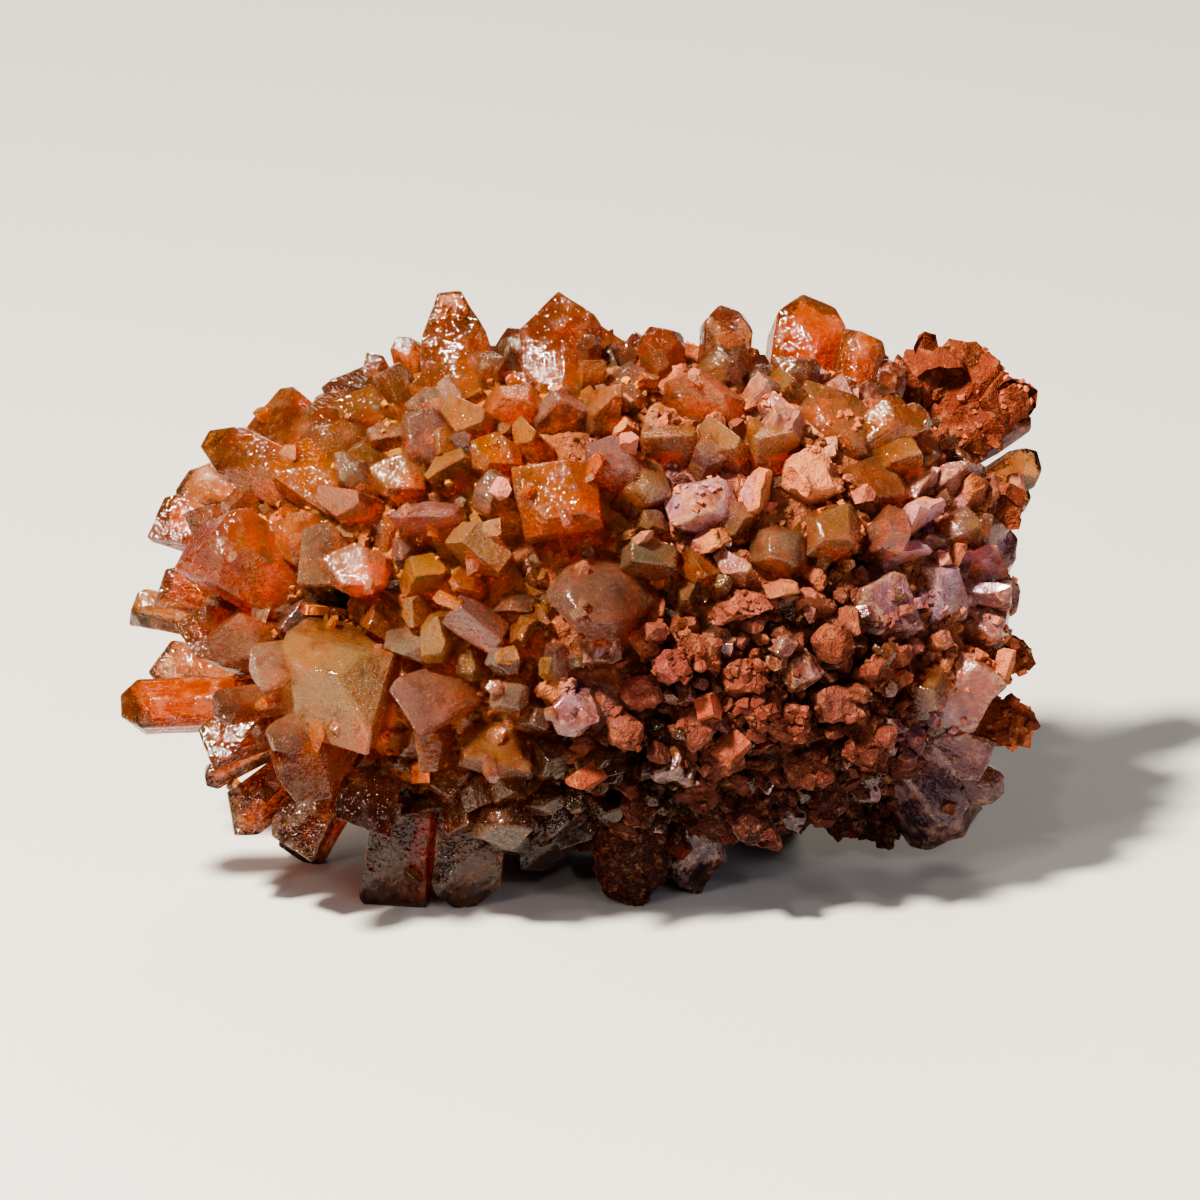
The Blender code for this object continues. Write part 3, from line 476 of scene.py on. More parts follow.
@dataclass
class MeshPool:
    """Copies of shapes gathered into one mesh, with a tint, wear and grain at each point."""

    name: str
    points: list = field(default_factory=list)
    corners: list = field(default_factory=list)
    sizes: list = field(default_factory=list)
    tints: list = field(default_factory=list)
    worn: list = field(default_factory=list)
    grain: list = field(default_factory=list)
    count: int = 0

    def add(
        self,
        mould: "Mould",
        points: np.ndarray,
        tint: np.ndarray,
        worn: np.ndarray,
        grain: np.ndarray,
    ) -> None:
        """Add one copy of a mould.

        Args:
            mould: The shape whose faces are copied.
            points: The copy's points in millimetres.
            tint: A colour for each point.
            worn: How abraded each point is, 0 to 1.
            grain: The crystal's own coordinates at each point, in millimetres.
        """
        self.corners.append(mould.corners + self.count)
        self.sizes.append(mould.sizes)
        self.points.append(points)
        self.tints.append(tint)
        self.worn.append(worn)
        self.grain.append(grain)
        self.count += len(points)

    def faces(self) -> list:
        """List every face as a list of point numbers.

        Returns:
            The faces, in the order in which their copies were added.
        """
        corners = np.concatenate(self.corners).tolist()
        found = []
        start = 0
        for size in np.concatenate(self.sizes).tolist():
            found.append(corners[start : start + size])
            start += size
        return found

    def build(self, material: bpy.types.Material, angle: float) -> bpy.types.Object:
        """Make the mesh object.

        Args:
            material: The finish of the whole piece.
            angle: Edges sharper than this, in degrees, stay crisp.

        Returns:
            The new piece, already declared to the frame.
        """
        points = np.concatenate(self.points) * MM
        corners = np.concatenate(self.corners)
        sizes = np.concatenate(self.sizes)
        starts = np.concatenate([[0], np.cumsum(sizes)[:-1]])
        mesh = bpy.data.meshes.new(self.name)
        mesh.vertices.add(len(points))
        mesh.vertices.foreach_set("co", points.astype(np.float32).ravel())
        mesh.loops.add(len(corners))
        mesh.loops.foreach_set("vertex_index", corners.astype(np.int32))
        mesh.polygons.add(len(sizes))
        mesh.polygons.foreach_set("loop_start", starts.astype(np.int32))
        mesh.update(calc_edges=True)
        mesh.validate()
        tints = np.concatenate(self.tints)
        colours = np.concatenate([tints, np.ones((len(tints), 1))], axis=1)
        store_attribute(mesh, "tint", "FLOAT_COLOR", "color", colours)
        store_attribute(mesh, "worn", "FLOAT", "value", np.concatenate(self.worn))
        store_attribute(mesh, "grain", "FLOAT_VECTOR", "vector", np.concatenate(self.grain))
        piece = bpy.data.objects.new(self.name, mesh)
        bpy.context.scene.collection.objects.link(piece)
        mesh.materials.append(material)
        finish_piece(piece, angle)
        return piece


def store_attribute(
    mesh: bpy.types.Mesh, name: str, kind: str, key: str, values: np.ndarray
) -> None:
    """Keep one value for each point of a mesh.

    Args:
        mesh: The mesh to write on.
        name: The attribute's name.
        kind: Blender's type name for it.
        key: The field that its values are set through.
        values: One value or row for each point.
    """
    made = mesh.attributes.new(name, kind, "POINT")
    made.data.foreach_set(key, values.astype(np.float32).ravel())


def select_only(piece: bpy.types.Object) -> None:
    """Make one object the only selected and active one.

    Args:
        piece: The object.
    """
    bpy.ops.object.select_all(action="DESELECT")
    piece.select_set(True)
    bpy.context.view_layer.objects.active = piece


def finish_piece(piece: bpy.types.Object, angle: float) -> None:
    """Args:
        piece: The finished piece, at the origin.
        angle: Edges sharper than this, in degrees, stay crisp.
    """
    select_only(piece)
    bpy.ops.object.shade_smooth_by_angle(angle=math.radians(angle))
    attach(piece, "root")
    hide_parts(NODE)
    triangles = sum(len(face.vertices) - 2 for face in piece.data.polygons)
    LOG.info("%s: %d triangles", piece.name, triangles)


@dataclass(frozen=True)
class Mould:
    """A finished unit shape, read from a modelled object, ready to be copied."""

    points: np.ndarray
    corners: np.ndarray
    sizes: np.ndarray
    worn: np.ndarray

    @staticmethod
    def read(model: bpy.types.Object) -> "Mould":
        """Read a modelled object and remove it.

        Args:
            model: The object. Its faces in the second material are worn ones.

        Returns:
            The mould.
        """
        mesh = model.data
        points = np.empty(len(mesh.vertices) * 3, np.float32)
        mesh.vertices.foreach_get("co", points)
        corners = np.empty(len(mesh.loops), np.int32)
        mesh.loops.foreach_get("vertex_index", corners)
        sizes = np.empty(len(mesh.polygons), np.int32)
        mesh.polygons.foreach_get("loop_total", sizes)
        worn = np.zeros(len(mesh.vertices))
        for face in mesh.polygons:
            if face.material_index == 1:
                worn[list(face.vertices)] = 1.0
        bpy.data.objects.remove(model)
        bpy.data.meshes.remove(mesh)
        return Mould(points.reshape(-1, 3).astype(float), corners.astype(np.int64), sizes, worn)


@dataclass
class CrystalModeller:
    """Models each kind of crystal once, as a unit prism that hangs from its tip."""

    unit_length: float = 4.0
    foot_taper: float = 0.82
    block_radius: float = 1.25
    head_room: float = 0.3
    weld: float = 0.05
    sharp: float = 20.0
    cell_top: float = 0.2
    cell_rows_length: float = 3.6
    cell_half_span: float = 1.2
    cell_shift: tuple = (0.31, 0.37)

    def start(self, head: str, sides: int, name: str) -> bpy.types.Object:
        """Model a prism with its head cut.

        Args:
            head: The name of a head in HEADS.
            sides: 6 for a prism, 4 for a block.
            name: Name of the new object.

        Returns:
            The object, in edit mode.
        """
        radius = self.block_radius if sides == 4 else 1.0
        bpy.ops.object.select_all(action="DESELECT")
        bpy.ops.mesh.primitive_cone_add(
            vertices=sides,
            radius1=radius * self.foot_taper,
            radius2=radius,
            depth=self.unit_length,
            location=(0.0, 0.0, self.head_room - self.unit_length / 2),
            rotation=(0.0, 0.0, math.radians(45.0) if sides == 4 else 0.0),
        )
        model = bpy.context.object
        model.name = name
        bpy.ops.object.transform_apply(location=True, rotation=True, scale=True)
        bpy.ops.object.mode_set(mode="EDIT")
        for normal, point in HEADS[head]:
            bpy.ops.mesh.select_all(action="SELECT")
            bpy.ops.mesh.bisect(
                plane_co=point, plane_no=normal, use_fill=True, clear_outer=True
            )
        bpy.ops.mesh.select_all(action="SELECT")
        bpy.ops.mesh.remove_doubles(threshold=self.weld)
        bpy.ops.mesh.normals_make_consistent(inside=False)
        return model

    def lattice(self, cell: float) -> None:
        """Cut the open model's faces into cells, so that its surfaces can be worn.

        Args:
            cell: The cells' width.
        """
        steps = int(self.cell_half_span / cell)
        rows = int(self.cell_rows_length / cell)
        shift_x, shift_y = self.cell_shift
        cuts = [((0, 0, self.cell_top - cell * row), (0, 0, 1)) for row in range(rows)]
        for row in range(-steps, steps + 1):
            cuts.append(((cell * (row + shift_x), 0, 0), (1, 0, 0)))
            cuts.append(((0, cell * (row + shift_y), 0), (0, 1, 0)))
        for point, normal in cuts:
            bpy.ops.mesh.select_all(action="SELECT")
            bpy.ops.mesh.bisect(plane_co=point, plane_no=normal, use_fill=False)

    def model(self, head: str, sides: int, edge: float, segments: int, cell: float) -> Mould:
        """Model one crystal with bevelled edges.

        Args:
            head: The name of a head in HEADS.
            sides: 6 for a prism, 4 for a block.
            edge: Width of the worn edges, in half-widths of the crystal.
            segments: How many faces round an edge has.
            cell: Width of the cells that its faces are cut into.

        Returns:
            The finished mould.
        """
        model = self.start(head, sides, f"mould_{head}_{sides}")
        bpy.ops.object.mode_set(mode="OBJECT")
        for name in ("face", "edge"):
            model.data.materials.append(bpy.data.materials.new(f"mould_{name}"))
        bevel = model.modifiers.new("worn_edges", "BEVEL")
        bevel.width = edge
        bevel.segments = segments
        bevel.limit_method = "ANGLE"
        bevel.angle_limit = math.radians(self.sharp)
        bevel.material = 1
        bpy.ops.object.modifier_apply(modifier=bevel.name)
        bpy.ops.object.mode_set(mode="EDIT")
        self.lattice(cell)
        bpy.ops.object.mode_set(mode="OBJECT")
        return Mould.read(model)

    def model_small(self, head: str, sides: int) -> Mould:
        """Model a plain small crystal with few faces.

        Args:
            head: The name of a head in HEADS.
            sides: 6 for a prism, 4 for a block.

        Returns:
            The finished mould.
        """
        model = self.start(head, sides, f"small_{head}_{sides}")
        bpy.ops.object.mode_set(mode="OBJECT")
        return Mould.read(model)


@dataclass
class Core:
    """The lumpy egg that every crystal grows from, under its skin of clay."""

    middle: tuple = (0.6, 0.2, 0.0)
    radii: tuple = (18.4, 11.5, 9.4)
    power: float = 2.5
    lump_size: float = 6.5
    lump_height: float = 0.9
    pit_size: float = 2.4
    pit_height: float = 0.4
    outline_radii: tuple = (20.0, 12.9)
    detail: int = 7
    roughening_level: float = 0.6
    hollow_floor: float = 0.4
    hollow_clear: float = 0.8
    # Painted shade deep down, towards the core between the crystals.
    painted_deep_shade: float = 0.68
    deep_span: tuple = (1.1, 0.92)
    below_span: tuple = (-4.5, -11.5)
    low_from_left: tuple = (-7.0, 3.0)
    low_from_top: tuple = (6.5, -3.5)
    low_from_right: tuple = (19.0, 15.0)
    # Low at the right: painted shade together with darker clay.
    painted_shade_and_dark_clay_low: tuple = (0.68, 0.77, 0.73)
    # Underneath: painted shade.
    painted_under_shade: tuple = (0.66, 0.82, 0.86)
    left_clay: tuple = (0.42, 0.125, 0.034)
    right_clay: tuple = (0.42, 0.115, 0.05)
    ochre_clay: tuple = (0.60, 0.27, 0.05)
    pale_clay: tuple = (0.70, 0.28, 0.12)
    right_span: tuple = (-10.0, 6.0)
    ochre_size: float = 4.2
    ochre_share: float = 0.75
    ochre_span: tuple = (0.05, 0.35)
    ochre_from_right: tuple = (7.0, -2.0)
    pale_size: float = 2.1
    pale_share: float = 0.35
    pale_span: tuple = (0.1, 0.5)
    painted_sheen_share: float = 0.45
    roughening: tuple = (
        ("lumps", "CLOUDS", 1.3, 0.75),
        ("crumbs", "VORONOI", 0.7, 0.45),
        ("grit", "CLOUDS", 0.35, 0.22),
    )
    hollows: tuple = (
        (14.0, 1.9, 1.3, 2.6),
        (-14.2, -0.3, 1.5, 2.2),
        (1.5, -7.6, 1.4, 1.2),
        (8.6, 9.4, 0.9, 1.4),
        (7.6, 3.4, 1.0, 1.4),
    )

    def point(self, way: Vector) -> Vector:
        """Find the point of the core's surface in a direction.

        Args:
            way: A unit direction along the view's axes.

        Returns:
            The point in millimetres, in the object's frame.
        """
        power = sum(abs(part / radius) ** self.power for part, radius in zip(way, self.radii))
        place = Vector(way) * power ** (-1.0 / self.power)
        lump = noise.noise(place / self.lump_size) * self.lump_height
        pit = noise.noise(place / self.pit_size + Vector((9.0, 4.0, 2.0))) * self.pit_height
        place += place.normalized() * (lump + pit)
        return VIEW.to_object(Vector(self.middle) + place)

    def outward(self, way: Vector) -> Vector:
        """Find the direction that faces straight out of the core.

        Args:
            way: A unit direction along the view's axes.

        Returns:
            A unit vector in the object's frame.
        """
        step = 0.02
        side = Vector(way).orthogonal().normalized() * step
        other = Vector(way).cross(side).normalized() * step
        middle = self.point(way)
        normal = (self.point(way + side) - middle).cross(self.point(way + other) - middle)
        return normal.normalized()

    def reach(self, points: np.ndarray) -> np.ndarray:
        """Say how far out points lie: 1 is the core's skin, and more is further out.

        Args:
            points: Places in millimetres, one row each.

        Returns:
            One value for each point.
        """
        places = VIEW.many_from_object(points) - np.array(self.middle)
        shares = np.abs(places / np.array(self.radii)) ** self.power
        return shares.sum(axis=1) ** (1.0 / self.power)

    def outline_reach(self, points: np.ndarray) -> np.ndarray:
        """Say how far out points lie in the front view: 1 is the core's outline.

        Args:
            points: Places in millimetres, one row each.

        Returns:
            One value for each point.
        """
        places = VIEW.many_from_object(points)[:, :2] - np.array(self.middle[:2])
        shares = np.abs(places / np.array(self.radii[:2])) ** self.power
        return shares.sum(axis=1) ** (1.0 / self.power)

    def way_out(self, point: Vector) -> Vector:
        """Find the direction that leads out of the core from a point near its skin.

        Args:
            point: The point in millimetres.

        Returns:
            A unit vector in the object's frame.
        """
        place = Vector(VIEW.from_object(point)) - Vector(self.middle)
        steep = Vector(
            math.copysign(abs(part / radius) ** (self.power - 1.0) / radius, part)
            for part, radius in zip(place, self.radii)
        )
        way = Vector((steep.x, 0.0, 0.0)) + VIEW.up_way() * steep.y + VIEW.toward_way() * steep.z
        return way.normalized()

    def is_inside_outline(self, tip: Vector) -> bool:
        """Say whether a grown crystal's tip keeps inside the listed ones' outline.

        Args:
            tip: The tip in millimetres.

        Returns:
            True where it does.
        """
        place = VIEW.from_object(tip)
        offsets = (place[0] - self.middle[0], place[1] - self.middle[1])
        total = sum(abs(p / r) ** self.power for p, r in zip(offsets, self.outline_radii))
        return total < 1.0

    def is_hollow(self, point: Vector) -> bool:
        """Say whether a place lies in one of the dark hollows of the front.

        Args:
            point: The place in millimetres.

        Returns:
            True where it does.
        """
        across, up, toward = VIEW.from_object(point)
        return toward > 0.0 and any(
            math.hypot(across - middle, up - height) < radius * self.hollow_clear
            for middle, height, radius, _ in self.hollows
        )

    def build(self, material: bpy.types.Material) -> bpy.types.Object:
        """Model the clay skin: a ball drawn out to the core, then roughened.

        Args:
            material: The clay's finish.

        Returns:
            The piece.
        """
        bpy.ops.object.select_all(action="DESELECT")
        bpy.ops.mesh.primitive_ico_sphere_add(subdivisions=self.detail, radius=1.0)
        piece = bpy.context.object
        piece.name = "clay_core"
        piece.data.name = "clay_core"
        mesh = piece.data
        places = np.array([self.point(vert.co.normalized()) for vert in mesh.vertices])
        seen = VIEW.many_from_object(places)
        inward = np.array(Vector(VIEW.aim)) - places
        inward /= np.linalg.norm(inward, axis=1)[:, None]
        for across, up, radius, depth in self.hollows:
            away = np.hypot(seen[:, 0] - across, seen[:, 1] - up)
            share = smooth_step(radius, radius * self.hollow_floor, away) * (seen[:, 2] > 0.0)
            places += inward * (share * depth)[:, None]
        mesh.vertices.foreach_set("co", (places * MM).astype(np.float32).ravel())
        mesh.update()
        for name, kind, size, height in self.roughening:
            pattern = bpy.data.textures.new(f"core_{name}", kind)
            pattern.noise_scale = size * MM
            rough = piece.modifiers.new(name, "DISPLACE")
            rough.texture = pattern
            rough.texture_coords = "LOCAL"
            rough.strength = height * MM
            rough.mid_level = self.roughening_level
            select_only(piece)
            bpy.ops.object.modifier_apply(modifier=rough.name)
        colours = self.skin_tints(mesh)
        store_attribute(mesh, "tint", "FLOAT_COLOR", "color", colours)
        mesh.materials.append(material)
        finish_piece(piece, SKIN_CRISP)
        return piece

    def painted_shade_and_dark_clay_at(self, points: np.ndarray) -> np.ndarray:
        """Say what share of its colour a place keeps: painted shade underneath, and low at the
        right painted shade together with darker clay.

        Args:
            points: Places in millimetres, one row each.

        Returns:
            Three factors for each point.
        """
        places = VIEW.many_from_object(points)
        across, up = places[:, 0], places[:, 1]
        below = smooth_step(*self.below_span, up)[:, None]
        low = smooth_step(*self.low_from_left, across) * smooth_step(*self.low_from_top, up)
        low = low * smooth_step(*self.low_from_right, across)
        under = 1.0 - below * np.array(self.painted_under_shade)
        return under * (1.0 - low[:, None] * np.array(self.painted_shade_and_dark_clay_low))

    def clay_tints(self, points: np.ndarray) -> np.ndarray:
        """Colour clay: browner at the left, salmon at the right, ochre in patches, a painted lilac
        sheen on a few patches of the front, and painted shade deep down.

        Args:
            points: Places in millimetres, one row each.

        Returns:
            One colour for each point.
        """
        right = smooth_step(*self.right_span, points[:, 0])[:, None]
        clay = np.array(self.left_clay) * (1.0 - right) + np.array(self.right_clay) * right
        patch = noise_field(points, self.ochre_size, 3.0)[:, 0]
        ochre = smooth_step(*self.ochre_span, patch)
        ochre = (ochre * smooth_step(*self.ochre_from_right, points[:, 0]))[:, None]
        share = self.ochre_share
        clay = clay * (1.0 - share * ochre) + np.array(self.ochre_clay) * share * ochre
        patch = noise_field(points, self.pale_size, 11.0)[:, 1]
        pale = smooth_step(*self.pale_span, patch)[:, None]
        share = self.pale_share
        clay = clay * (1.0 - share * pale) + np.array(self.pale_clay) * share * pale
        # Painted lilac sheen on a few patches of the front.
        painted_sheen = painted_sheen_at(points) * self.painted_sheen_share
        clay = clay * (1.0 - painted_sheen) + np.array(LILAC_SHEEN_TINT) * painted_sheen
        # Painted shade deep down, towards the core.
        deep = smooth_step(*self.deep_span, self.reach(points))[:, None]
        return clay * (1.0 - self.painted_deep_shade * deep)

    def skin_tints(self, mesh: bpy.types.Mesh) -> np.ndarray:
        """Colour the skin as clay, with painted shade underneath and low at the right.

        Args:
            mesh: The skin's mesh.

        Returns:
            One colour with alpha for each point.
        """
        points = np.empty(len(mesh.vertices) * 3, np.float32)
        mesh.vertices.foreach_get("co", points)
        points = points.reshape(-1, 3).astype(float) / MM
        # Painted shade underneath and low at the right.
        tints = self.clay_tints(points) * self.painted_shade_and_dark_clay_at(points)
        return np.concatenate([tints, np.ones((len(points), 1))], axis=1)


@dataclass
class Growth:
    """Grows the crystals: the listed ones, and seeded ones over the rest of the core."""

    core: Core
    seed: int = 41
    seats: int = 1400
    spacing: float = 0.9
    lean: float = 0.42
    buried: float = 1.0
    shortest: float = 0.7
    crowding: float = 0.75
    long_end: float = -7.0
    short_end: float = 5.0
    sweep: float = 0.4
    long_widths: tuple = (3.0, 4.8)
    short_widths: tuple = (2.2, 3.6)
    long_rises: tuple = (1.4, 3.6)
    short_rises: tuple = (0.7, 2.0)
    flatness: tuple = (0.6, 0.85)
    root_length: float = 3.0
    head_depth: float = 1.2
    shaft_foot: float = 3.7
    fan_broad: float = 1.16
    full_wear_width: float = 2.4
    flat_face_chips: float = 0.25
    sway_size: float = 1.9
    chip_size: float = 0.62
    pock_size: float = 0.27
    cloud_size: float = 1.5
    wisp_size: float = 0.9
    tint_spans: tuple = ((0.9, 1.06), (0.84, 1.1), (0.8, 1.2))
    top_span: tuple = (0.75, 0.05)
    root_span: tuple = (1.0, 2.4)
    dust_span: tuple = (1.17, 1.0)
    dust_share: float = 0.8
    patch_span: tuple = (0.42, 0.7)
    patch_share: float = 0.3
    wisp_span: tuple = (0.0, 0.35)
    smoke_span: tuple = (1.1, 0.35)
    painted_sheen_share: float = 0.65
    # Painted shade on crystals that stand beyond the core's outline in the front view.
    fringe_span: tuple = (0.95, 1.12)
    palest: float = 0.98
    painted_fringe_shade: tuple = (0.60, 0.77, 0.86)
    tips: np.ndarray = field(init=False)
    feet: np.ndarray = field(init=False)
    halves: np.ndarray = field(init=False)

    def __post_init__(self) -> None:
        """Work out where the listed crystals lie."""
        self.tips = np.array([VIEW.to_object(crystal.tip) for crystal in LISTED])
        self.feet = np.array([VIEW.to_object(crystal.foot) for crystal in LISTED])
        self.halves = np.array([crystal.width / 2 for crystal in LISTED])

    def spiral_way(self, index: int) -> Vector:
        """Give one of the directions that are spread evenly over a sphere.

        Args:
            index: Which of them, up to the number of seats.

        Returns:
            A unit direction.
        """
        height = 1.0 - (2.0 * index + 1.0) / self.seats
        turn = index * math.pi * (3.0 - math.sqrt(5.0))
        ring = math.sqrt(1.0 - height * height)
        return Vector((height, ring * math.cos(turn), ring * math.sin(turn)))

    def is_free(self, point: Vector, radius: float, crowding: float) -> bool:
        """Say whether a grown crystal there keeps clear of the listed ones.

        Args:
            point: Its tip or seat in millimetres.
            radius: Half its width.
            crowding: How near it may come, as a share of the two half-widths.

        Returns:
            True where it is clear.
        """
        along = self.tips - self.feet
        offset = np.array(point) - self.feet
        share = np.clip((offset * along).sum(axis=1) / (along * along).sum(axis=1), 0.0, 1.0)
        away = np.linalg.norm(offset - along * share[:, None], axis=1)
        return bool((away > crowding * (radius + self.halves)).all())

    def grown(self) -> list:
        """Grow the crystals that aren't listed: long at the left end, stubby at the right.

        Returns:
            The crystals, in the order in which they took their seats.
        """
        rng = random.Random(self.seed)
        order = list(range(self.seats))
        rng.shuffle(order)
        taken = []
        found = []
        for index in order:
            way = self.spiral_way(index)
            seat = self.core.point(way)
            lean = Vector([rng.uniform(-1.0, 1.0) for _ in range(3)]) * self.lean
            sweep = Vector((way.x * self.sweep, 0.0, 0.0))
            axis = (self.core.outward(way) + lean + sweep).normalized()
            reach = VIEW.from_object(seat)[0] - self.long_end
            stub = clamp(reach / (self.short_end - self.long_end))
            width = rng.uniform(*self.long_widths) * (1.0 - stub)
            width += rng.uniform(*self.short_widths) * stub
            rise = rng.uniform(*self.long_rises) * (1.0 - stub)
            rise += rng.uniform(*self.short_rises) * stub
            tip = seat + axis * rise
            while rise > self.shortest and not self.core.is_inside_outline(tip):
                rise *= 0.7
                tip = seat + axis * rise
            foot = seat - axis * self.buried
            thickness = width * rng.uniform(*self.flatness)
            twist = rng.uniform(0.0, 180.0)
            head = rng.choice(GROWN_HEADS)
            free = self.core.is_inside_outline(tip)
            free = free and self.is_free(tip, width / 2, self.crowding)
            free = free and self.is_free(seat, width / 2, self.crowding)
            room = all(
                (seat - other).length > self.spacing * (width + other_width) / 2
                for other, other_width in taken
            )
            if free and room:
                taken.append((seat, width))
                look = self.grown_look(len(found), stub)
                place = (VIEW.from_object(tip), VIEW.from_object(foot))
                found.append(Crystal(*place, width, thickness, twist, head, look, 0.0, 4))
        return found

    def grown_look(self, number: int, stub: float) -> Look:
        """Choose how a grown crystal looks: amber at the left, coated and rosy at the right.

        Args:
            number: Its place in the order of growth.
            stub: 0 at the left end and 1 from the middle on.

        Returns:
            The look.
        """
        rng = random.Random(self.seed + 7 * number)
        if rng.random() < stub * 0.85:
            return rng.choice((COATED, COATED, COATED, ROSE, ROSE, PEACH))
        return rng.choice((AMBER, AMBER, HONEY, PEACH, PEACH, SMOKY, FIRE))

    def frame_of(self, crystal: Crystal) -> tuple:
        """Find where a crystal stands.

        Args:
            crystal: The crystal.

        Returns:
            Its tip, its three directions as rows, and its whole length, in millimetres.
        """
        tip = VIEW.to_object(crystal.tip)
        foot = VIEW.to_object(crystal.foot)
        axis = (tip - foot).normalized()
        side = axis.cross(VIEW.toward_way())
        if side.length < 0.35:
            side = Vector((1.0, 0.0, 0.0)) - axis * axis.x
        side.normalize()
        side = Matrix.Rotation(math.radians(crystal.twist), 3, axis) @ side
        rows = np.array((side, axis.cross(side), axis))
        return np.array(tip), rows, (tip - foot).length + self.root_length

    def copy_into(self, pool: MeshPool, mould: Mould, crystal: Crystal, number: int) -> None:
        """Copy a mould to a crystal's place, stretch it to length and wear its surface.

        Args:
            pool: The piece that takes the copy.
            mould: The crystal's shape.
            crystal: Where it stands and how it looks.
            number: A number of its own, which varies its wear and colour.
        """
        tip, rows, length = self.frame_of(crystal)
        broad = self.fan_broad if crystal in LEFT_FAN else 1.0
        half = crystal.width / 2 * broad
        local = mould.points.copy()
        shaft = local[:, 2] < -self.head_depth
        stretch = (length / half - self.head_depth) / (self.shaft_foot - self.head_depth)
        local[shaft, 2] = -self.head_depth + (local[shaft, 2] + self.head_depth) * stretch
        local *= np.array((half, crystal.thickness / 2 * broad, half))
        points = tip + local @ rows
        points += self.wear(points, mould.worn, crystal, number)
        points[:, 2] = np.maximum(points[:, 2], 0.0)
        tint = self.colour(points, local, crystal, number)
        grain = local + np.array((number * 7.3, number * 3.1, 0.0))
        pool.add(mould, points, tint, mould.worn, grain)

    def wear(
        self, points: np.ndarray, worn: np.ndarray, crystal: Crystal, number: int
    ) -> np.ndarray:
        """Work out how growth and abrasion move a crystal's points.

        Args:
            points: The copy's points in millimetres.
            worn: 1 on its bevelled edges.
            crystal: The crystal.
            number: A number of its own.

        Returns:
            An offset for each point.
        """
        family = FAMILY_OF[crystal.look]
        habit = HABITS[family]
        scale = min(1.0, crystal.width / self.full_wear_width)
        slow = noise_field(points, self.sway_size, number * 0.37)
        fast = noise_field(points, self.chip_size, number * 0.91)
        share = self.flat_face_chips
        chips = 1.0 if family is Family.CLAY else (share + (1.0 - share) * worn)[:, None]
        moved = (slow * habit.sway + fast * habit.chip * chips) * scale
        if habit.pock:
            moved += noise_field(points, self.pock_size, number * 0.13) * habit.pock
        return moved

    def colour(
        self, points: np.ndarray, local: np.ndarray, crystal: Crystal, number: int
    ) -> np.ndarray:
        """Colour a crystal from root to tip, with clay near the core and smoke at the tip, a
        painted lilac sheen on a few patches of the front, painted shade beyond the core's outline
        in the front view, and painted shade underneath and low at the right.

        Args:
            points: Its points in millimetres.
            local: The same points in its own frame.
            crystal: The crystal.
            number: A number of its own.

        Returns:
            One colour for each point.
        """
        rng = random.Random(number)
        root, body, top = (np.array(tint) for tint in TINTS[crystal.look])
        depth = -local[:, 2] / crystal.width
        cloud = noise_field(points, self.cloud_size, number * 0.53)
        depth = depth + cloud[:, 0] * 0.5
        to_top = smooth_step(*self.top_span, depth)[:, None]
        to_root = smooth_step(*self.root_span, depth)[:, None]
        tint = body * (1.0 - to_top) + top * to_top
        tint = tint * (1.0 - to_root) + root * to_root
        tint = tint * np.array([rng.uniform(*span) for span in self.tint_spans])
        near = self.core.reach(points)
        dust = smooth_step(*self.dust_span, near + cloud[:, 1] * 0.08) * self.dust_share
        patches = smooth_step(*self.patch_span, cloud[:, 2]) * self.patch_share
        dust = np.maximum(dust, patches)[:, None]
        tint = tint * (1.0 - dust) + self.core.clay_tints(points) * dust
        if crystal.smoke:
            wisps = noise_field(points, self.wisp_size, number * 0.19)[:, 1]
            wisps = smooth_step(*self.wisp_span, wisps)
            smoke = (wisps * smooth_step(*self.smoke_span, depth) * crystal.smoke)[:, None]
            tint = tint * (1.0 - smoke) + np.array(SMOKE_TINT) * smoke
        # Painted lilac sheen on a few patches of the front.
        painted_sheen = painted_sheen_at(points) * self.painted_sheen_share
        tint = tint * (1.0 - painted_sheen) + np.array(LILAC_SHEEN_TINT) * painted_sheen
        # Painted shade on crystals that stand beyond the core's outline in the front view.
        fringe = smooth_step(*self.fringe_span, self.core.outline_reach(points))[:, None]
        tint = tint * (1.0 - fringe * np.array(self.painted_fringe_shade))
        # Painted shade underneath and low at the right.
        return np.clip(tint * self.core.painted_shade_and_dark_clay_at(points), 0.0, self.palest)

    def build(self, finishes: dict) -> dict:
        """Grow every crystal into the piece of its family.

        Args:
            finishes: The material of each family.

        Returns:
            The pools that the pieces were built from, by family.
        """
        modeller = CrystalModeller()
        moulds = {}
        for head in HEADS:
            for sides in (4, 6):
                for family, habit in HABITS.items():
                    mould = modeller.model(head, sides, habit.edge, habit.segments, habit.cell)
                    moulds[head, sides, family] = mould
        pools = {family: MeshPool(family.value) for family in Family}
        for number, crystal in enumerate(list(LISTED) + self.grown()):
            family = FAMILY_OF[crystal.look]
            mould = moulds[crystal.head, crystal.sides, family]
            self.copy_into(pools[family], mould, crystal, number)
        for family, pool in pools.items():
            pool.build(finishes[family], CRYSTAL_CRISP)
        return pools


@dataclass(frozen=True)
class Hit:
    """A place on the outermost surface of the cluster."""

    point: Vector
    normal: Vector
    family: Family | None
    reach: float
    number: int

    def chance(self, seed: int) -> random.Random:
        """Give the place a source of chance of its own, so that no other place changes it."""
        return random.Random(seed * 1000003 + self.number)


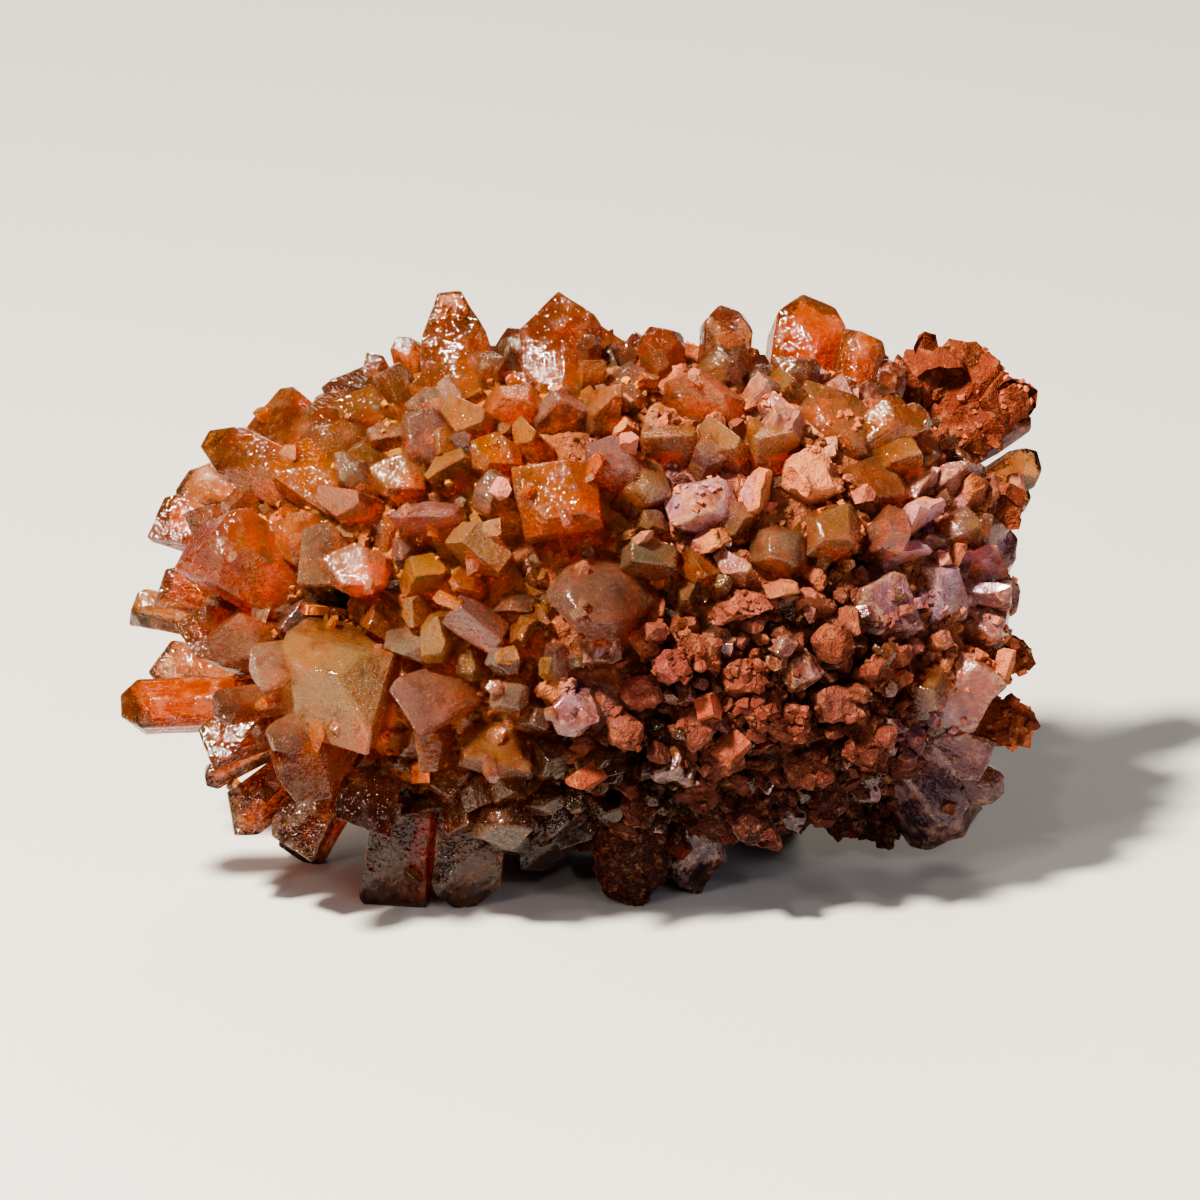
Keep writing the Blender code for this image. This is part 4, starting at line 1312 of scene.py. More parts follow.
@dataclass
class Surface:
    """Finds places on the outermost surface, over all sides or scattered from one patch."""

    core: Core
    tree: BVHTree
    owners: list
    box: tuple = ((-24, 24), (-15, 15), (-1, 31))
    stand_off: float = 90.0
    spread: float = 0.25

    @staticmethod
    def over(core: Core, skin: bpy.types.Object, pools: dict) -> "Surface":
        """Gather the skin and the crystals.

        Args:
            core: The core, which says how far out a place is.
            skin: The clay skin's object.
            pools: The crystals of each family.

        Returns:
            The surface.
        """
        points = (np.array([vert.co for vert in skin.data.vertices]) / MM).tolist()
        faces = [list(face.vertices) for face in skin.data.polygons]
        owners = [None] * len(faces)
        for family, pool in pools.items():
            start = len(points)
            points.extend(np.concatenate(pool.points).tolist())
            added = pool.faces()
            faces.extend([[corner + start for corner in face] for face in added])
            owners.extend([family] * len(added))
        return Surface(core, BVHTree.FromPolygons(points, faces), owners)

    def cast(self, origin: Vector, way: Vector, number: int) -> Hit | None:
        """Look from a point along a direction.

        Args:
            origin: Where the look starts, in millimetres.
            way: A unit direction.
            number: The look's number.

        Returns:
            The first place met, or None.
        """
        point, normal, index, _ = self.tree.ray_cast(origin, way)
        if point is None:
            return None
        if normal.dot(way) > 0.0:
            normal = -normal
        reach = float(self.core.reach(np.array([point]))[0])
        return Hit(point, normal, self.owners[index], reach, number)

    def all_over(self, count: int, seed: int) -> list:
        """Find places spread over the whole surface, seen or unseen.

        Args:
            count: How many looks to take.
            seed: Seed of the looks.

        Returns:
            The places met.
        """
        rng = random.Random(seed)
        found = []
        for number in range(count):
            way = Vector([rng.gauss(0.0, 1.0) for _ in range(3)]).normalized()
            aim = Vector([rng.uniform(*span) for span in self.box])
            hit = self.cast(aim - way * self.stand_off, way, number)
            if hit is not None:
                found.append(hit)
        return found

    def in_patch(self, across: float, up: float, radius: float, count: int, seed: int) -> list:
        """Find places by slanting looks from a round patch in front of the cluster.

        The slant scatters them well beyond the patch, and some looks miss the cluster.

        Args:
            across: The patch's middle across the view.
            up: The patch's middle up the view.
            radius: The patch's radius.
            count: How many looks to take.
            seed: Seed of the looks.

        Returns:
            The places met.
        """
        rng = random.Random(seed)
        found = []
        way = -VIEW.toward_way()
        for number in range(count):
            turn = rng.uniform(0.0, 2.0 * math.pi)
            away = radius * math.sqrt(rng.random())
            place = (across + away * math.cos(turn), up + away * math.sin(turn), 60.0)
            spread = Vector([rng.uniform(-self.spread, self.spread) for _ in range(3)])
            look = seed * 1000 + number
            hit = self.cast(VIEW.to_object(place), (way + spread).normalized(), look)
            if hit is not None:
                found.append(hit)
        return found


def stand_on(hit: Hit, lean: float, rng: random.Random) -> np.ndarray:
    """Make the frame of a small thing that stands on a surface.

    Args:
        hit: Where it stands.
        lean: How far it may lean from the surface's normal.
        rng: The source of chance.

    Returns:
        Three rows: two across it, and the one that it points along.
    """
    axis = hit.normal + Vector([rng.uniform(-1.0, 1.0) for _ in range(3)]) * lean
    axis.normalize()
    side = axis.orthogonal().normalized()
    side = Matrix.Rotation(rng.uniform(0.0, math.tau), 3, axis) @ side
    return np.array((side, axis.cross(side), axis))


@dataclass
class Thicket:
    """Middling crystals that crowd the core between the large ones."""

    growth: Growth
    surface: Surface
    looks: int = 14000
    seed: int = 23
    deepest: float = 0.86
    highest: float = 1.10
    spacing: float = 0.46
    crowding: float = 0.64
    lean: float = 0.6
    lumps_from: float = 13.0
    half_depth: float = 12.9
    tallest: float = 2.2
    narrowest: float = 0.9
    widest: float = 3.8
    rises: tuple = (0.45, 1.1)
    flatness: tuple = (0.55, 0.9)
    sweep: float = 0.25
    buried: float = 0.3
    lump_rise: float = 0.25
    first_number: int = 1000
    heads: tuple = ("blunt", "chisel", "peak", "slant", "wedge", "taper")
    smooth_moulding: tuple = (0.045, 1, 0.72)
    rough_moulding: tuple = (0.2, 1, 0.52)

    def look_at(self, place: tuple, rng: random.Random) -> Look:
        """Choose a crystal's look by its place: glassy at the left, coated low at the right.

        Args:
            place: Its seat in the front view.
            rng: The source of chance.

        Returns:
            The look.
        """
        across, up, _ = place
        right = clamp((across + 4.0) / 14.0)
        low = clamp((3.0 - up) / 7.0)
        if rng.random() < right * (0.35 + 0.55 * low):
            return rng.choice((COATED, COATED, COATED, ROSE))
        if rng.random() < right:
            return rng.choice((ROSE, ROSE, PEACH, AMBER, AMBER, SMOKY))
        return rng.choice((AMBER, AMBER, HONEY, PEACH, PEACH, SMOKY, SMOKY, FIRE))

    def width_at(self, place: tuple, rng: random.Random) -> float:
        """Choose a crystal's width: broad at the left and the top, fine low on the right.

        Args:
            place: Its seat in the front view.
            rng: The source of chance.

        Returns:
            The width in millimetres.
        """
        across, up, _ = place
        right = clamp((across + 3.0) / 7.0)
        low = clamp((3.0 - up) / 6.0)
        widest = self.widest - 1.9 * right * low - 0.6 * right
        return self.narrowest + (widest - self.narrowest) * rng.random() ** 1.1

    def seats(self) -> list:
        """Choose seats that keep clear of each other, the widest crystals first.

        Returns:
            The crystals that stand on them, each with a number of its own.
        """
        wanted = []
        for hit in self.surface.all_over(self.looks, self.seed):
            rng = hit.chance(self.seed)
            width = self.width_at(VIEW.from_object(hit.point), rng)
            lump = hit.family is Family.CLAY and hit.point.x > self.lumps_from
            bare = hit.family is None or hit.reach < 1.0
            if lump or (bare and self.deepest < hit.reach < self.highest):
                wanted.append((width, hit, rng))
        wanted.sort(key=lambda entry: (-entry[0], entry[1].number))
        taken = np.full((len(wanted), 3), 1000.0)
        wides = np.zeros(len(wanted))
        found = []
        for width, hit, rng in wanted:
            lean = Vector([rng.uniform(-1.0, 1.0) for _ in range(3)]) * self.lean
            sweep = Vector((math.copysign(self.sweep, hit.point.x), 0.0, self.sweep))
            axis = (self.surface.core.way_out(hit.point) + lean + sweep).normalized()
            rise = min(self.tallest, width * rng.uniform(*self.rises))
            lump = hit.reach >= self.highest
            if lump:
                axis = (hit.normal + lean * 0.5).normalized()
                rise = self.lump_rise
            thickness = width * rng.uniform(*self.flatness)
            twist = rng.uniform(0.0, 180.0)
            head = rng.choice(self.heads)
            tip = hit.point + axis * rise
            clear = lump or (
                self.surface.core.is_inside_outline(tip)
                and not self.surface.core.is_hollow(tip)
                and self.growth.is_free(tip, width / 2, self.crowding)
            )
            clear = clear and abs(tip.y) + width * 0.3 < self.half_depth
            gaps = np.linalg.norm(taken[: len(found) + 1] - np.array(hit.point), axis=1)
            if clear and (gaps > self.spacing * (width + wides[: len(found) + 1]) / 2).all():
                taken[len(found)] = hit.point
                wides[len(found)] = width
                place = VIEW.from_object(tip)
                foot = VIEW.from_object(hit.point - axis * self.buried)
                look = COATED if lump else self.look_at(place, rng)
                smoke = 0.6 if look is SMOKY and rng.random() < 0.3 else 0.0
                crystal = Crystal(place, foot, width, thickness, twist, head, look, smoke, 6)
                found.append((self.first_number + hit.number, crystal))
        return found

    def build(self, finishes: dict) -> None:
        """Grow the middling crystals into the pieces of their families.

        Args:
            finishes: The material of each family.
        """
        modeller = CrystalModeller()
        smooth = {head: modeller.model(head, 6, *self.smooth_moulding) for head in HEADS}
        rough = {head: modeller.model(head, 6, *self.rough_moulding) for head in HEADS}
        pools = {family: MeshPool(f"middling_{family.value}") for family in Family}
        for number, crystal in self.seats():
            family = FAMILY_OF[crystal.look]
            mould = (rough if family is Family.CLAY else smooth)[crystal.head]
            self.growth.copy_into(pools[family], mould, crystal, number)
        for family, pool in pools.items():
            pool.build(finishes[family], CRYSTAL_CRISP)


@dataclass
class Druse:
    """Small crystals that carpet the core between the large ones."""

    surface: Surface
    looks: int = 15000
    seed: int = 5
    lean: float = 0.55
    buried: float = 0.3
    patch_widths: tuple = (0.4, 1.2)
    flatness: tuple = (0.3, 0.45)
    rises: tuple = (0.4, 1.1)
    tint_span: tuple = (0.85, 1.1)
    clay_span: tuple = (0.85, 1.25)
    worn: float = 0.15
    # Patches that looks start from: across, up, radius, how many, and what grows there.
    patches: tuple = (
        (-16.0, -4.6, 1.7, 22, SMOKY),
        (-8.3, 9.6, 1.2, 14, SMOKY),
        (5.0, 5.0, 2.0, 26, ROSE),
        (-6.6, -1.8, 2.4, 30, HONEY),
        (-3.6, -3.8, 1.8, 22, SMOKY),
        (16.8, 1.0, 2.0, 24, ROSE),
    )

    def moulds(self) -> list:
        """Model the few small crystals that are copied."""
        modeller = CrystalModeller()
        return [
            modeller.model_small(head, sides)
            for head, sides in (("blunt", 6), ("peak", 4), ("chisel", 4), ("wedge", 6))
        ]

    def wanted(self, hit: Hit, rng: random.Random) -> Look | None:
        """Decide whether a small crystal grows at a place, and how it looks.

        Args:
            hit: The place.
            rng: The source of chance.

        Returns:
            Its look, or None.
        """
        if hit.family is not None and (hit.reach > 1.0 or rng.random() < 0.5):
            return None
        if rng.random() < (hit.point.x + 8.0) / 20.0:
            return rng.choice((COATED, COATED, ROSE, COATED))
        return rng.choice((AMBER, HONEY, PEACH, SMOKY, COATED))

    def build(self, finishes: dict) -> None:
        """Grow the small crystals into the pieces of their kinds.

        Args:
            finishes: The material of each family.
        """
        moulds = self.moulds()
        glassy = MeshPool("amber_druse")
        coated = MeshPool("coated_druse")
        seats = []
        for hit in self.surface.all_over(self.looks, self.seed):
            rng = hit.chance(self.seed)
            look = self.wanted(hit, rng)
            if look is not None:
                seats.append((hit, look, 0.25 + 0.8 * rng.random() ** 2, rng))
        for across, up, radius, count, look in self.patches:
            for hit in self.surface.in_patch(across, up, radius, count, self.seed + count):
                rng = hit.chance(self.seed)
                seats.append((hit, look, rng.uniform(*self.patch_widths), rng))
        for hit, look, width, rng in seats:
            pool = coated if look in (COATED, ROSE) else glassy
            rows = stand_on(hit, self.lean, rng)
            mould = rng.choice(moulds)
            stretch = np.array((width / 2, width * rng.uniform(*self.flatness), width / 2))
            local = mould.points * stretch
            rise = width * rng.uniform(*self.rises)
            tip = np.array(hit.point) + rows[2] * rise
            local[:, 2] = np.maximum(local[:, 2], -rise - self.buried)
            points = tip + local @ rows
            points[:, 2] = np.maximum(points[:, 2], 0.0)
            base = np.array(TINTS[look][rng.choice((1, 1, 2))])
            tint = base * np.array([rng.uniform(*self.tint_span) for _ in range(3)])
            if look is COATED:
                clay = self.surface.core.clay_tints(points[:1])[0]
                tint = clay * rng.uniform(*self.clay_span)
            # Painted shade underneath and low at the right.
            tints = np.clip(tint * self.surface.core.painted_shade_and_dark_clay_at(points), 0.0, 0.98)
            grain = local + hit.number * 3.7
            pool.add(mould, points, tints, np.full(len(points), self.worn), grain)
        glassy.build(finishes[Family.GLASSY], DRUSE_CRISP)
        coated.build(finishes[Family.CLAY], DRUSE_CRISP)


@dataclass
class ClayCrumbs:
    """Crumbs of clay that cling in the hollows and on the coated crystals, and a few chips."""

    surface: Surface
    looks: int = 34000
    seed: int = 12
    kinds: int = 5
    breaks: int = 4
    break_span: tuple = (0.36, 0.52)
    weld: float = 0.08
    clump_size: float = 2.2
    lean: float = 0.3
    lift: float = 0.22
    tint_span: tuple = (0.8, 1.3)
    chip_bright: float = 1.7
    # Each chip: across and up where its look starts, then its three dimensions.
    chips: tuple = (
        (2.1, 10.7, 1.7, 1.3, 0.75),
        (-2.9, 10.6, 1.0, 0.8, 0.5),
        (-2.1, 10.8, 0.8, 0.7, 0.4),
        (6.5, 12.0, 1.5, 1.1, 0.6),
        (-13.4, 2.5, 2.2, 1.2, 0.5),
        (4.8, 6.7, 1.0, 0.9, 0.5),
        (11.9, -2.2, 1.8, 1.6, 0.9),
        (14.4, -3.5, 2.0, 1.3, 0.9),
        (3.4, -2.6, 1.2, 1.0, 0.6),
        (0.2, -5.3, 1.1, 0.9, 0.6),
        (1.2, -6.9, 1.1, 0.9, 0.6),
        (12.2, 9.8, 1.6, 1.0, 0.4),
        (16.0, 9.0, 1.8, 1.3, 0.6),
        (9.6, 7.2, 1.4, 1.0, 0.5),
        (7.0, -0.2, 1.9, 1.0, 0.5),
        (-6.2, -1.8, 0.9, 0.8, 0.5),
        (19.6, -10.3, 0.9, 0.8, 0.6),
    )

    def model(self, kind: int) -> Mould:
        """Model one crumb: a cube broken along a few planes.

        Args:
            kind: Which crumb, as a seed.

        Returns:
            The finished mould, about 1 across.
        """
        rng = random.Random(self.seed + kind)
        bpy.ops.object.select_all(action="DESELECT")
        bpy.ops.mesh.primitive_cube_add(size=1.0)
        model = bpy.context.object
        bpy.ops.object.mode_set(mode="EDIT")
        for _ in range(self.breaks):
            normal = Vector([rng.uniform(-1.0, 1.0) for _ in range(3)]).normalized()
            bpy.ops.mesh.select_all(action="SELECT")
            bpy.ops.mesh.bisect(
                plane_co=normal * rng.uniform(*self.break_span),
                plane_no=normal,
                use_fill=True,
                clear_outer=True,
            )
        bpy.ops.mesh.select_all(action="SELECT")
        bpy.ops.mesh.remove_doubles(threshold=self.weld)
        bpy.ops.object.mode_set(mode="OBJECT")
        return Mould.read(model)

    def wanted(self, hit: Hit, rng: random.Random) -> bool:
        """Decide whether a crumb clings to a place.

        Args:
            hit: The place.
            rng: The source of chance.

        Returns:
            True where it does.
        """
        across, up, _ = VIEW.from_object(hit.point)
        right = clamp((across + 5.0) / 9.0)
        low = clamp((4.0 - up) / 8.0)
        deep = clamp((1.12 - hit.reach) / 0.14)
        dusted = right * max(0.0, hit.normal.z - 0.15)
        if hit.family is Family.CLAY:
            share = 0.36 + 0.5 * dusted
        elif hit.family in (Family.GLASSY, Family.CLEAR) and hit.reach > 1.08:
            share = 0.0
        else:
            share = deep * (0.22 + 0.35 * right * low) + 0.55 * dusted * (1.0 - 0.5 * low)
        clump = noise.noise(hit.point / self.clump_size + Vector((5.0, 1.0, 8.0)))
        return rng.random() < share * max(0.0, 0.8 + 3.0 * clump)

    def size_at(self, hit: Hit, rng: random.Random) -> tuple:
        """Choose a crumb's size: mostly grit, with larger crumbs low on the right.

        Args:
            hit: Where it sits.
            rng: The source of chance.

        Returns:
            Its three dimensions in millimetres.
        """
        across, up, _ = VIEW.from_object(hit.point)
        coarse = clamp(across / 6.0) * clamp((3.0 - up) / 6.0)
        big = 0.14 + 0.2 * rng.random() + (0.12 + 0.45 * coarse) * rng.random() ** 4
        return (big, big * rng.uniform(0.7, 1.0), big * rng.uniform(0.5, 0.9))

    def place(
        self,
        pool: MeshPool,
        mould: Mould,
        hit: Hit,
        size: tuple,
        rng: random.Random,
        bright: float = 1.0,
    ) -> None:
        """Set one crumb into a surface.

        Args:
            pool: The piece that takes it.
            mould: Its shape.
            hit: Where it sits.
            size: Its three dimensions in millimetres.
            rng: The source of chance.
            bright: How much brighter than the clay it is.
        """
        rows = stand_on(hit, self.lean, rng)
        local = mould.points * np.array(size)
        points = np.array(hit.point) + rows[2] * size[2] * self.lift + local @ rows
        points[:, 2] = np.maximum(points[:, 2], 0.0)
        clay = self.surface.core.clay_tints(points[:1])[0]
        tint = clay * rng.uniform(*self.tint_span) * bright
        # Painted shade underneath and low at the right.
        tints = np.clip(tint * self.surface.core.painted_shade_and_dark_clay_at(points), 0.0, 0.92)
        pool.add(mould, points, tints, np.zeros(len(points)), local)

    def build(self, material: bpy.types.Material) -> None:
        """Scatter the crumbs and lay the chips.

        Args:
            material: The clay's finish.
        """
        moulds = [self.model(kind) for kind in range(self.kinds)]
        crumbs = MeshPool("clay_crumbs")
        for hit in self.surface.all_over(self.looks, self.seed):
            rng = hit.chance(self.seed)
            if self.wanted(hit, rng):
                self.place(crumbs, rng.choice(moulds), hit, self.size_at(hit, rng), rng)
        crumbs.build(material, CRUMB_CRISP)
        chips = MeshPool("clay_chips")
        for number, (across, up, wide, deep, high) in enumerate(self.chips):
            mould = moulds[number % self.kinds]
            for hit in self.surface.in_patch(across, up, 0.05, 1, self.seed + number):
                rng = hit.chance(self.seed)
                self.place(chips, mould, hit, (wide, deep, high), rng, self.chip_bright)
        chips.build(material, CRUMB_CRISP)


@dataclass(frozen=True)
class CrystalFinish:
    """How light passes through a family of crystals, and how their faces are marked."""

    name: str
    transmission: float
    absorb: tuple
    density: float
    gloss: float
    frost: float
    sheen_tint: tuple = (1.0, 1.0, 1.0)
    coat: float = 0.0
    relief: float = 0.62
    relief_depth: float = 0.22
    spark: float = 0.4
    index: float = 1.47
    coat_rough: float = 0.12
    veils_per_mm: float = 0.9
    pits_per_mm: float = 3.0
    glints_per_mm: float = 8.0
    # Pale specks: a painted glint, on pits that are also rougher.
    speck: tuple = (0.95, 0.68, 0.42, 1.0)
    # Pale worn edges: abrasion, and partly a painted edge highlight.
    rubbed_and_highlight: tuple = (0.92, 0.58, 0.36, 1.0)
    veil_share: float = 0.27
    cloud_share: float = 0.26
    shade_share: float = 0.6
    speck_share: float = 0.16
    rubbed_and_highlight_share: float = 0.24
    speck_rough: float = 0.25
    veil: tuple = (0.88, 0.58, 0.34, 1.0)
    cloud: tuple = (0.94, 0.46, 0.10, 1.0)
    shade: tuple = (0.42, 0.13, 0.03, 1.0)

    def make(self) -> bpy.types.Material:
        """Make the material.

        Returns:
            The material, which reads the tint, worn and grain attributes.
        """
        nodes = NodeSet(self.name)
        shader = nodes.shader
        shader.inputs["IOR"].default_value = self.index
        shader.inputs["Transmission Weight"].default_value = self.transmission
        shader.inputs["Specular Tint"].default_value = (*self.sheen_tint, 1.0)
        shader.inputs["Coat Weight"].default_value = self.coat
        shader.inputs["Coat Roughness"].default_value = self.coat_rough
        tint = nodes.attribute("tint", "Color")
        worn = nodes.attribute("worn", "Fac")
        grain = nodes.attribute("grain", "Vector")
        place = nodes.object_place()
        veil, cloud, shade = nodes.three_noises(place, self.veils_per_mm / MM, 2.0, 0.62)
        pits = nodes.noise(place, self.pits_per_mm / MM, 2.0, 0.7)
        veil_share = nodes.ramp(veil, 0.50, 0.68)
        clouds = nodes.ramp(cloud, 0.52, 0.68)
        shades = nodes.ramp(shade, 0.52, 0.68)
        yellow = nodes.mix(nodes.scaled(clouds, self.cloud_share), tint, self.cloud)
        brown = nodes.mix(nodes.scaled(shades, self.shade_share), yellow, self.shade)
        milky = nodes.mix(nodes.scaled(veil_share, self.veil_share), brown, self.veil)
        # Pale specks: a painted glint, on pits that are also rougher.
        specks = nodes.ramp(pits, 0.60, 0.70)
        dotted = nodes.mix(nodes.scaled(specks, self.speck_share), milky, self.speck)
        # Pale worn edges: abrasion, and partly a painted edge highlight.
        edge = nodes.multiply(worn, nodes.ramp(pits, 0.42, 0.6))
        rubbed_and_highlight = nodes.mix(nodes.scaled(edge, self.rubbed_and_highlight_share), dotted, self.rubbed_and_highlight)
        nodes.link(rubbed_and_highlight, shader.inputs["Base Color"])
        rough = nodes.add(nodes.scaled(veil_share, self.frost), self.gloss)
        rough = nodes.add_values(rough, nodes.scaled(specks, self.speck_rough))
        nodes.link(rough, shader.inputs["Roughness"])
        flashing = nodes.add(nodes.scaled(veil_share, 0.6), self.spark)
        glitter = nodes.glitter(place, self.glints_per_mm / MM, flashing)
        lines = nodes.noise(nodes.stretched(grain, (5.0, 5.0, 0.5)), 1.0, 1.0, 0.6)
        height = nodes.add_values(nodes.scaled(pits, 0.6), nodes.scaled(lines, 0.4))
        relief = nodes.bump(height, self.relief, self.relief_depth * MM, glitter)
        nodes.link(relief, shader.inputs["Normal"])
        if self.density:
            nodes.absorb(self.absorb, self.density)
        return nodes.material


@dataclass(frozen=True)
class ClayFinish:
    """Matte iron-stained clay, with a painted highlight on the high spots of its relief and
    painted shade in its low spots.
    """

    name: str
    rough: float = 0.92
    relief: float = 1.0
    relief_depth: float = 0.42
    lumps_per_mm: float = 1.7
    grit_per_mm: float = 9.0
    high: tuple = (0.74, 0.32, 0.17, 1.0)
    low: tuple = (0.12, 0.028, 0.012, 1.0)
    bit: tuple = (0.78, 0.40, 0.22, 1.0)
    painted_highlight_share: float = 0.22
    painted_shade_share: float = 0.6
    bit_share: float = 0.16
    index: float = 1.45
    shine: float = 0.25

    def make(self) -> bpy.types.Material:
        """Make the material.

        Returns:
            The material, which reads the tint attribute.
        """
        nodes = NodeSet(self.name)
        shader = nodes.shader
        shader.inputs["IOR"].default_value = self.index
        shader.inputs["Specular IOR Level"].default_value = self.shine
        tint = nodes.attribute("tint", "Color")
        place = nodes.object_place()
        lumps = nodes.noise(place, self.lumps_per_mm / MM, 3.0, 0.72)
        grit = nodes.noise(place, self.grit_per_mm / MM, 2.0, 0.6)
        # Painted highlight on the relief's high spots and painted shade in its low spots.
        high = nodes.ramp(lumps, 0.5, 0.72)
        low = nodes.ramp(lumps, 0.48, 0.3)
        pale = nodes.mix(nodes.scaled(high, self.painted_highlight_share), tint, self.high)
        dark = nodes.mix(nodes.scaled(low, self.painted_shade_share), pale, self.low)
        bits = nodes.scaled(nodes.ramp(grit, 0.62, 0.72), self.bit_share)
        dotted = nodes.mix(bits, dark, self.bit)
        nodes.link(dotted, shader.inputs["Base Color"])
        rough = nodes.add(nodes.scaled(grit, -0.25), self.rough)
        nodes.link(rough, shader.inputs["Roughness"])
        height = nodes.add_values(nodes.scaled(lumps, 0.8), nodes.scaled(grit, 0.2))
        relief = nodes.bump(height, self.relief, self.relief_depth * MM, None)
        nodes.link(relief, shader.inputs["Normal"])
        return nodes.material


class NodeSet:
    """A material's nodes, with short calls for the ones that the finishes share."""

    def __init__(self, name: str) -> None:
        """Start a material.

        Args:
            name: The material's name.
        """
        self.material = bpy.data.materials.new(name)
        self.material.use_nodes = True
        self.tree = self.material.node_tree
        self.shader = self.tree.nodes["Principled BSDF"]

    def link(self, source: Socket, target: Socket) -> None:
        """Join an output to an input."""
        self.tree.links.new(source, target)

    def attribute(self, name: str, output: str) -> Socket:
        """Read a mesh attribute.

        Args:
            name: The attribute.
            output: Which output of the node to use.

        Returns:
            The output socket.
        """
        node = self.tree.nodes.new("ShaderNodeAttribute")
        node.attribute_name = name
        return node.outputs[output]

    def object_place(self) -> Socket:
        """Read the place on the object, in metres."""
        return self.tree.nodes.new("ShaderNodeTexCoord").outputs["Object"]

    def stretched(self, place: Socket, scale: tuple) -> Socket:
        """Scale coordinates along each axis.

        Args:
            place: The coordinates.
            scale: One factor for each axis.

        Returns:
            The scaled coordinates.
        """
        node = self.tree.nodes.new("ShaderNodeMapping")
        node.inputs["Scale"].default_value = scale
        self.link(place, node.inputs["Vector"])
        return node.outputs["Vector"]

    def noise(self, place: Socket, scale: float, detail: float, rough: float) -> Socket:
        """Add fractal noise.

        Args:
            place: The coordinates it reads.
            scale: Features for each unit of length.
            detail: How many octaves it has.
            rough: How strong the small octaves are.

        Returns:
            Its grey value.
        """
        node = self.tree.nodes.new("ShaderNodeTexNoise")
        node.inputs["Scale"].default_value = scale
        node.inputs["Detail"].default_value = detail
        node.inputs["Roughness"].default_value = rough
        self.link(place, node.inputs["Vector"])
        return node.outputs["Fac"]

    def three_noises(self, place: Socket, scale: float, detail: float, rough: float) -> tuple:
        """Add three unrelated fractal noises of one size.

        Args:
            place: The coordinates they read.
            scale: Features for each unit of length.
            detail: How many octaves they have.
            rough: How strong the small octaves are.

        Returns:
            Their three values.
        """
        value = self.noise(place, scale, detail, rough)
        split = self.tree.nodes.new("ShaderNodeSeparateColor")
        self.link(value.node.outputs["Color"], split.inputs["Color"])
        return tuple(split.outputs[:3])

    def glitter(self, place: Socket, scale: float, strength: Socket) -> Socket:
        """Turn a few small cells of the surface, each its own way, so that they flash.

        Args:
            place: The coordinates of the cells.
            scale: Cells for each unit of length.
            strength: How far they turn.

        Returns:
            The normal.
        """
        cells = self.tree.nodes.new("ShaderNodeTexVoronoi")
        cells.inputs["Scale"].default_value = scale
        self.link(place, cells.inputs["Vector"])
        tilt = self.vector_maths("SUBTRACT", cells.outputs["Color"])
        tilt.inputs[1].default_value = (0.5, 0.5, 0.5)
        split = self.tree.nodes.new("ShaderNodeSeparateColor")
        self.link(cells.outputs["Color"], split.inputs["Color"])
        turned = self.vector_maths("SCALE", tilt.outputs[0])
        chosen = self.multiply(self.ramp(split.outputs[2], 0.82, 0.88), strength)
        self.link(chosen, turned.inputs["Scale"])
        summed = self.vector_maths("ADD", turned.outputs[0])
        facing = self.tree.nodes.new("ShaderNodeNewGeometry")
        self.link(facing.outputs["Normal"], summed.inputs[1])
        return self.vector_maths("NORMALIZE", summed.outputs[0]).outputs[0]

    def vector_maths(self, kind: str, value: Socket) -> bpy.types.Node:
        """Add a vector maths node with its first input joined.

        Args:
            kind: Blender's name for what it works out.
            value: What goes into its first input.

        Returns:
            The node.
        """
        node = self.tree.nodes.new("ShaderNodeVectorMath")
        node.operation = kind
        self.link(value, node.inputs[0])
        return node

    def ramp(self, value: Socket, low: float, high: float) -> Socket:
        """Spread a range of values smoothly over 0 to 1.

        Args:
            value: The values.
            low: What becomes 0.
            high: What becomes 1.

        Returns:
            The spread values.
        """
        node = self.tree.nodes.new("ShaderNodeMapRange")
        node.interpolation_type = "SMOOTHSTEP"
        node.inputs["From Min"].default_value = low
        node.inputs["From Max"].default_value = high
        self.link(value, node.inputs["Value"])
        return node.outputs["Result"]

    def maths(self, kind: str, value: Socket) -> bpy.types.Node:
        """Add a maths node with its first input joined.

        Args:
            kind: Blender's name for what it works out.
            value: What goes into its first input.

        Returns:
            The node.
        """
        node = self.tree.nodes.new("ShaderNodeMath")
        node.operation = kind
        self.link(value, node.inputs[0])
        return node

    def scaled(self, value: Socket, factor: float) -> Socket:
        """Multiply a value by a number.

        Args:
            value: The value.
            factor: The number.

        Returns:
            The product.
        """
        node = self.maths("MULTIPLY", value)
        node.inputs[1].default_value = factor
        return node.outputs[0]

    def add(self, value: Socket, amount: float) -> Socket:
        """Add a number to a value.

        Args:
            value: The value.
            amount: The number.

        Returns:
            The sum.
        """
        node = self.maths("ADD", value)
        node.inputs[1].default_value = amount
        return node.outputs[0]

    def multiply(self, first: Socket, second: Socket) -> Socket:
        """Multiply two values.

        Args:
            first: One value.
            second: The other.

        Returns:
            The product.
        """
        node = self.maths("MULTIPLY", first)
        self.link(second, node.inputs[1])
        return node.outputs[0]

    def add_values(self, first: Socket, second: Socket) -> Socket:
        """Add two values.

        Args:
            first: One value.
            second: The other.

        Returns:
            The sum.
        """
        node = self.maths("ADD", first)
        self.link(second, node.inputs[1])
        return node.outputs[0]

    def mix(self, share: Socket, base: Socket, colour: tuple) -> Socket:
        """Mix a plain colour over another.

        Args:
            share: How much of the plain colour shows.
            base: The colour below.
            colour: The plain colour.

        Returns:
            The mixed colour.
        """
        node = self.tree.nodes.new("ShaderNodeMix")
        node.data_type = "RGBA"
        self.link(share, node.inputs["Factor"])
        self.link(base, node.inputs[6])
        node.inputs[7].default_value = colour
        return node.outputs[2]

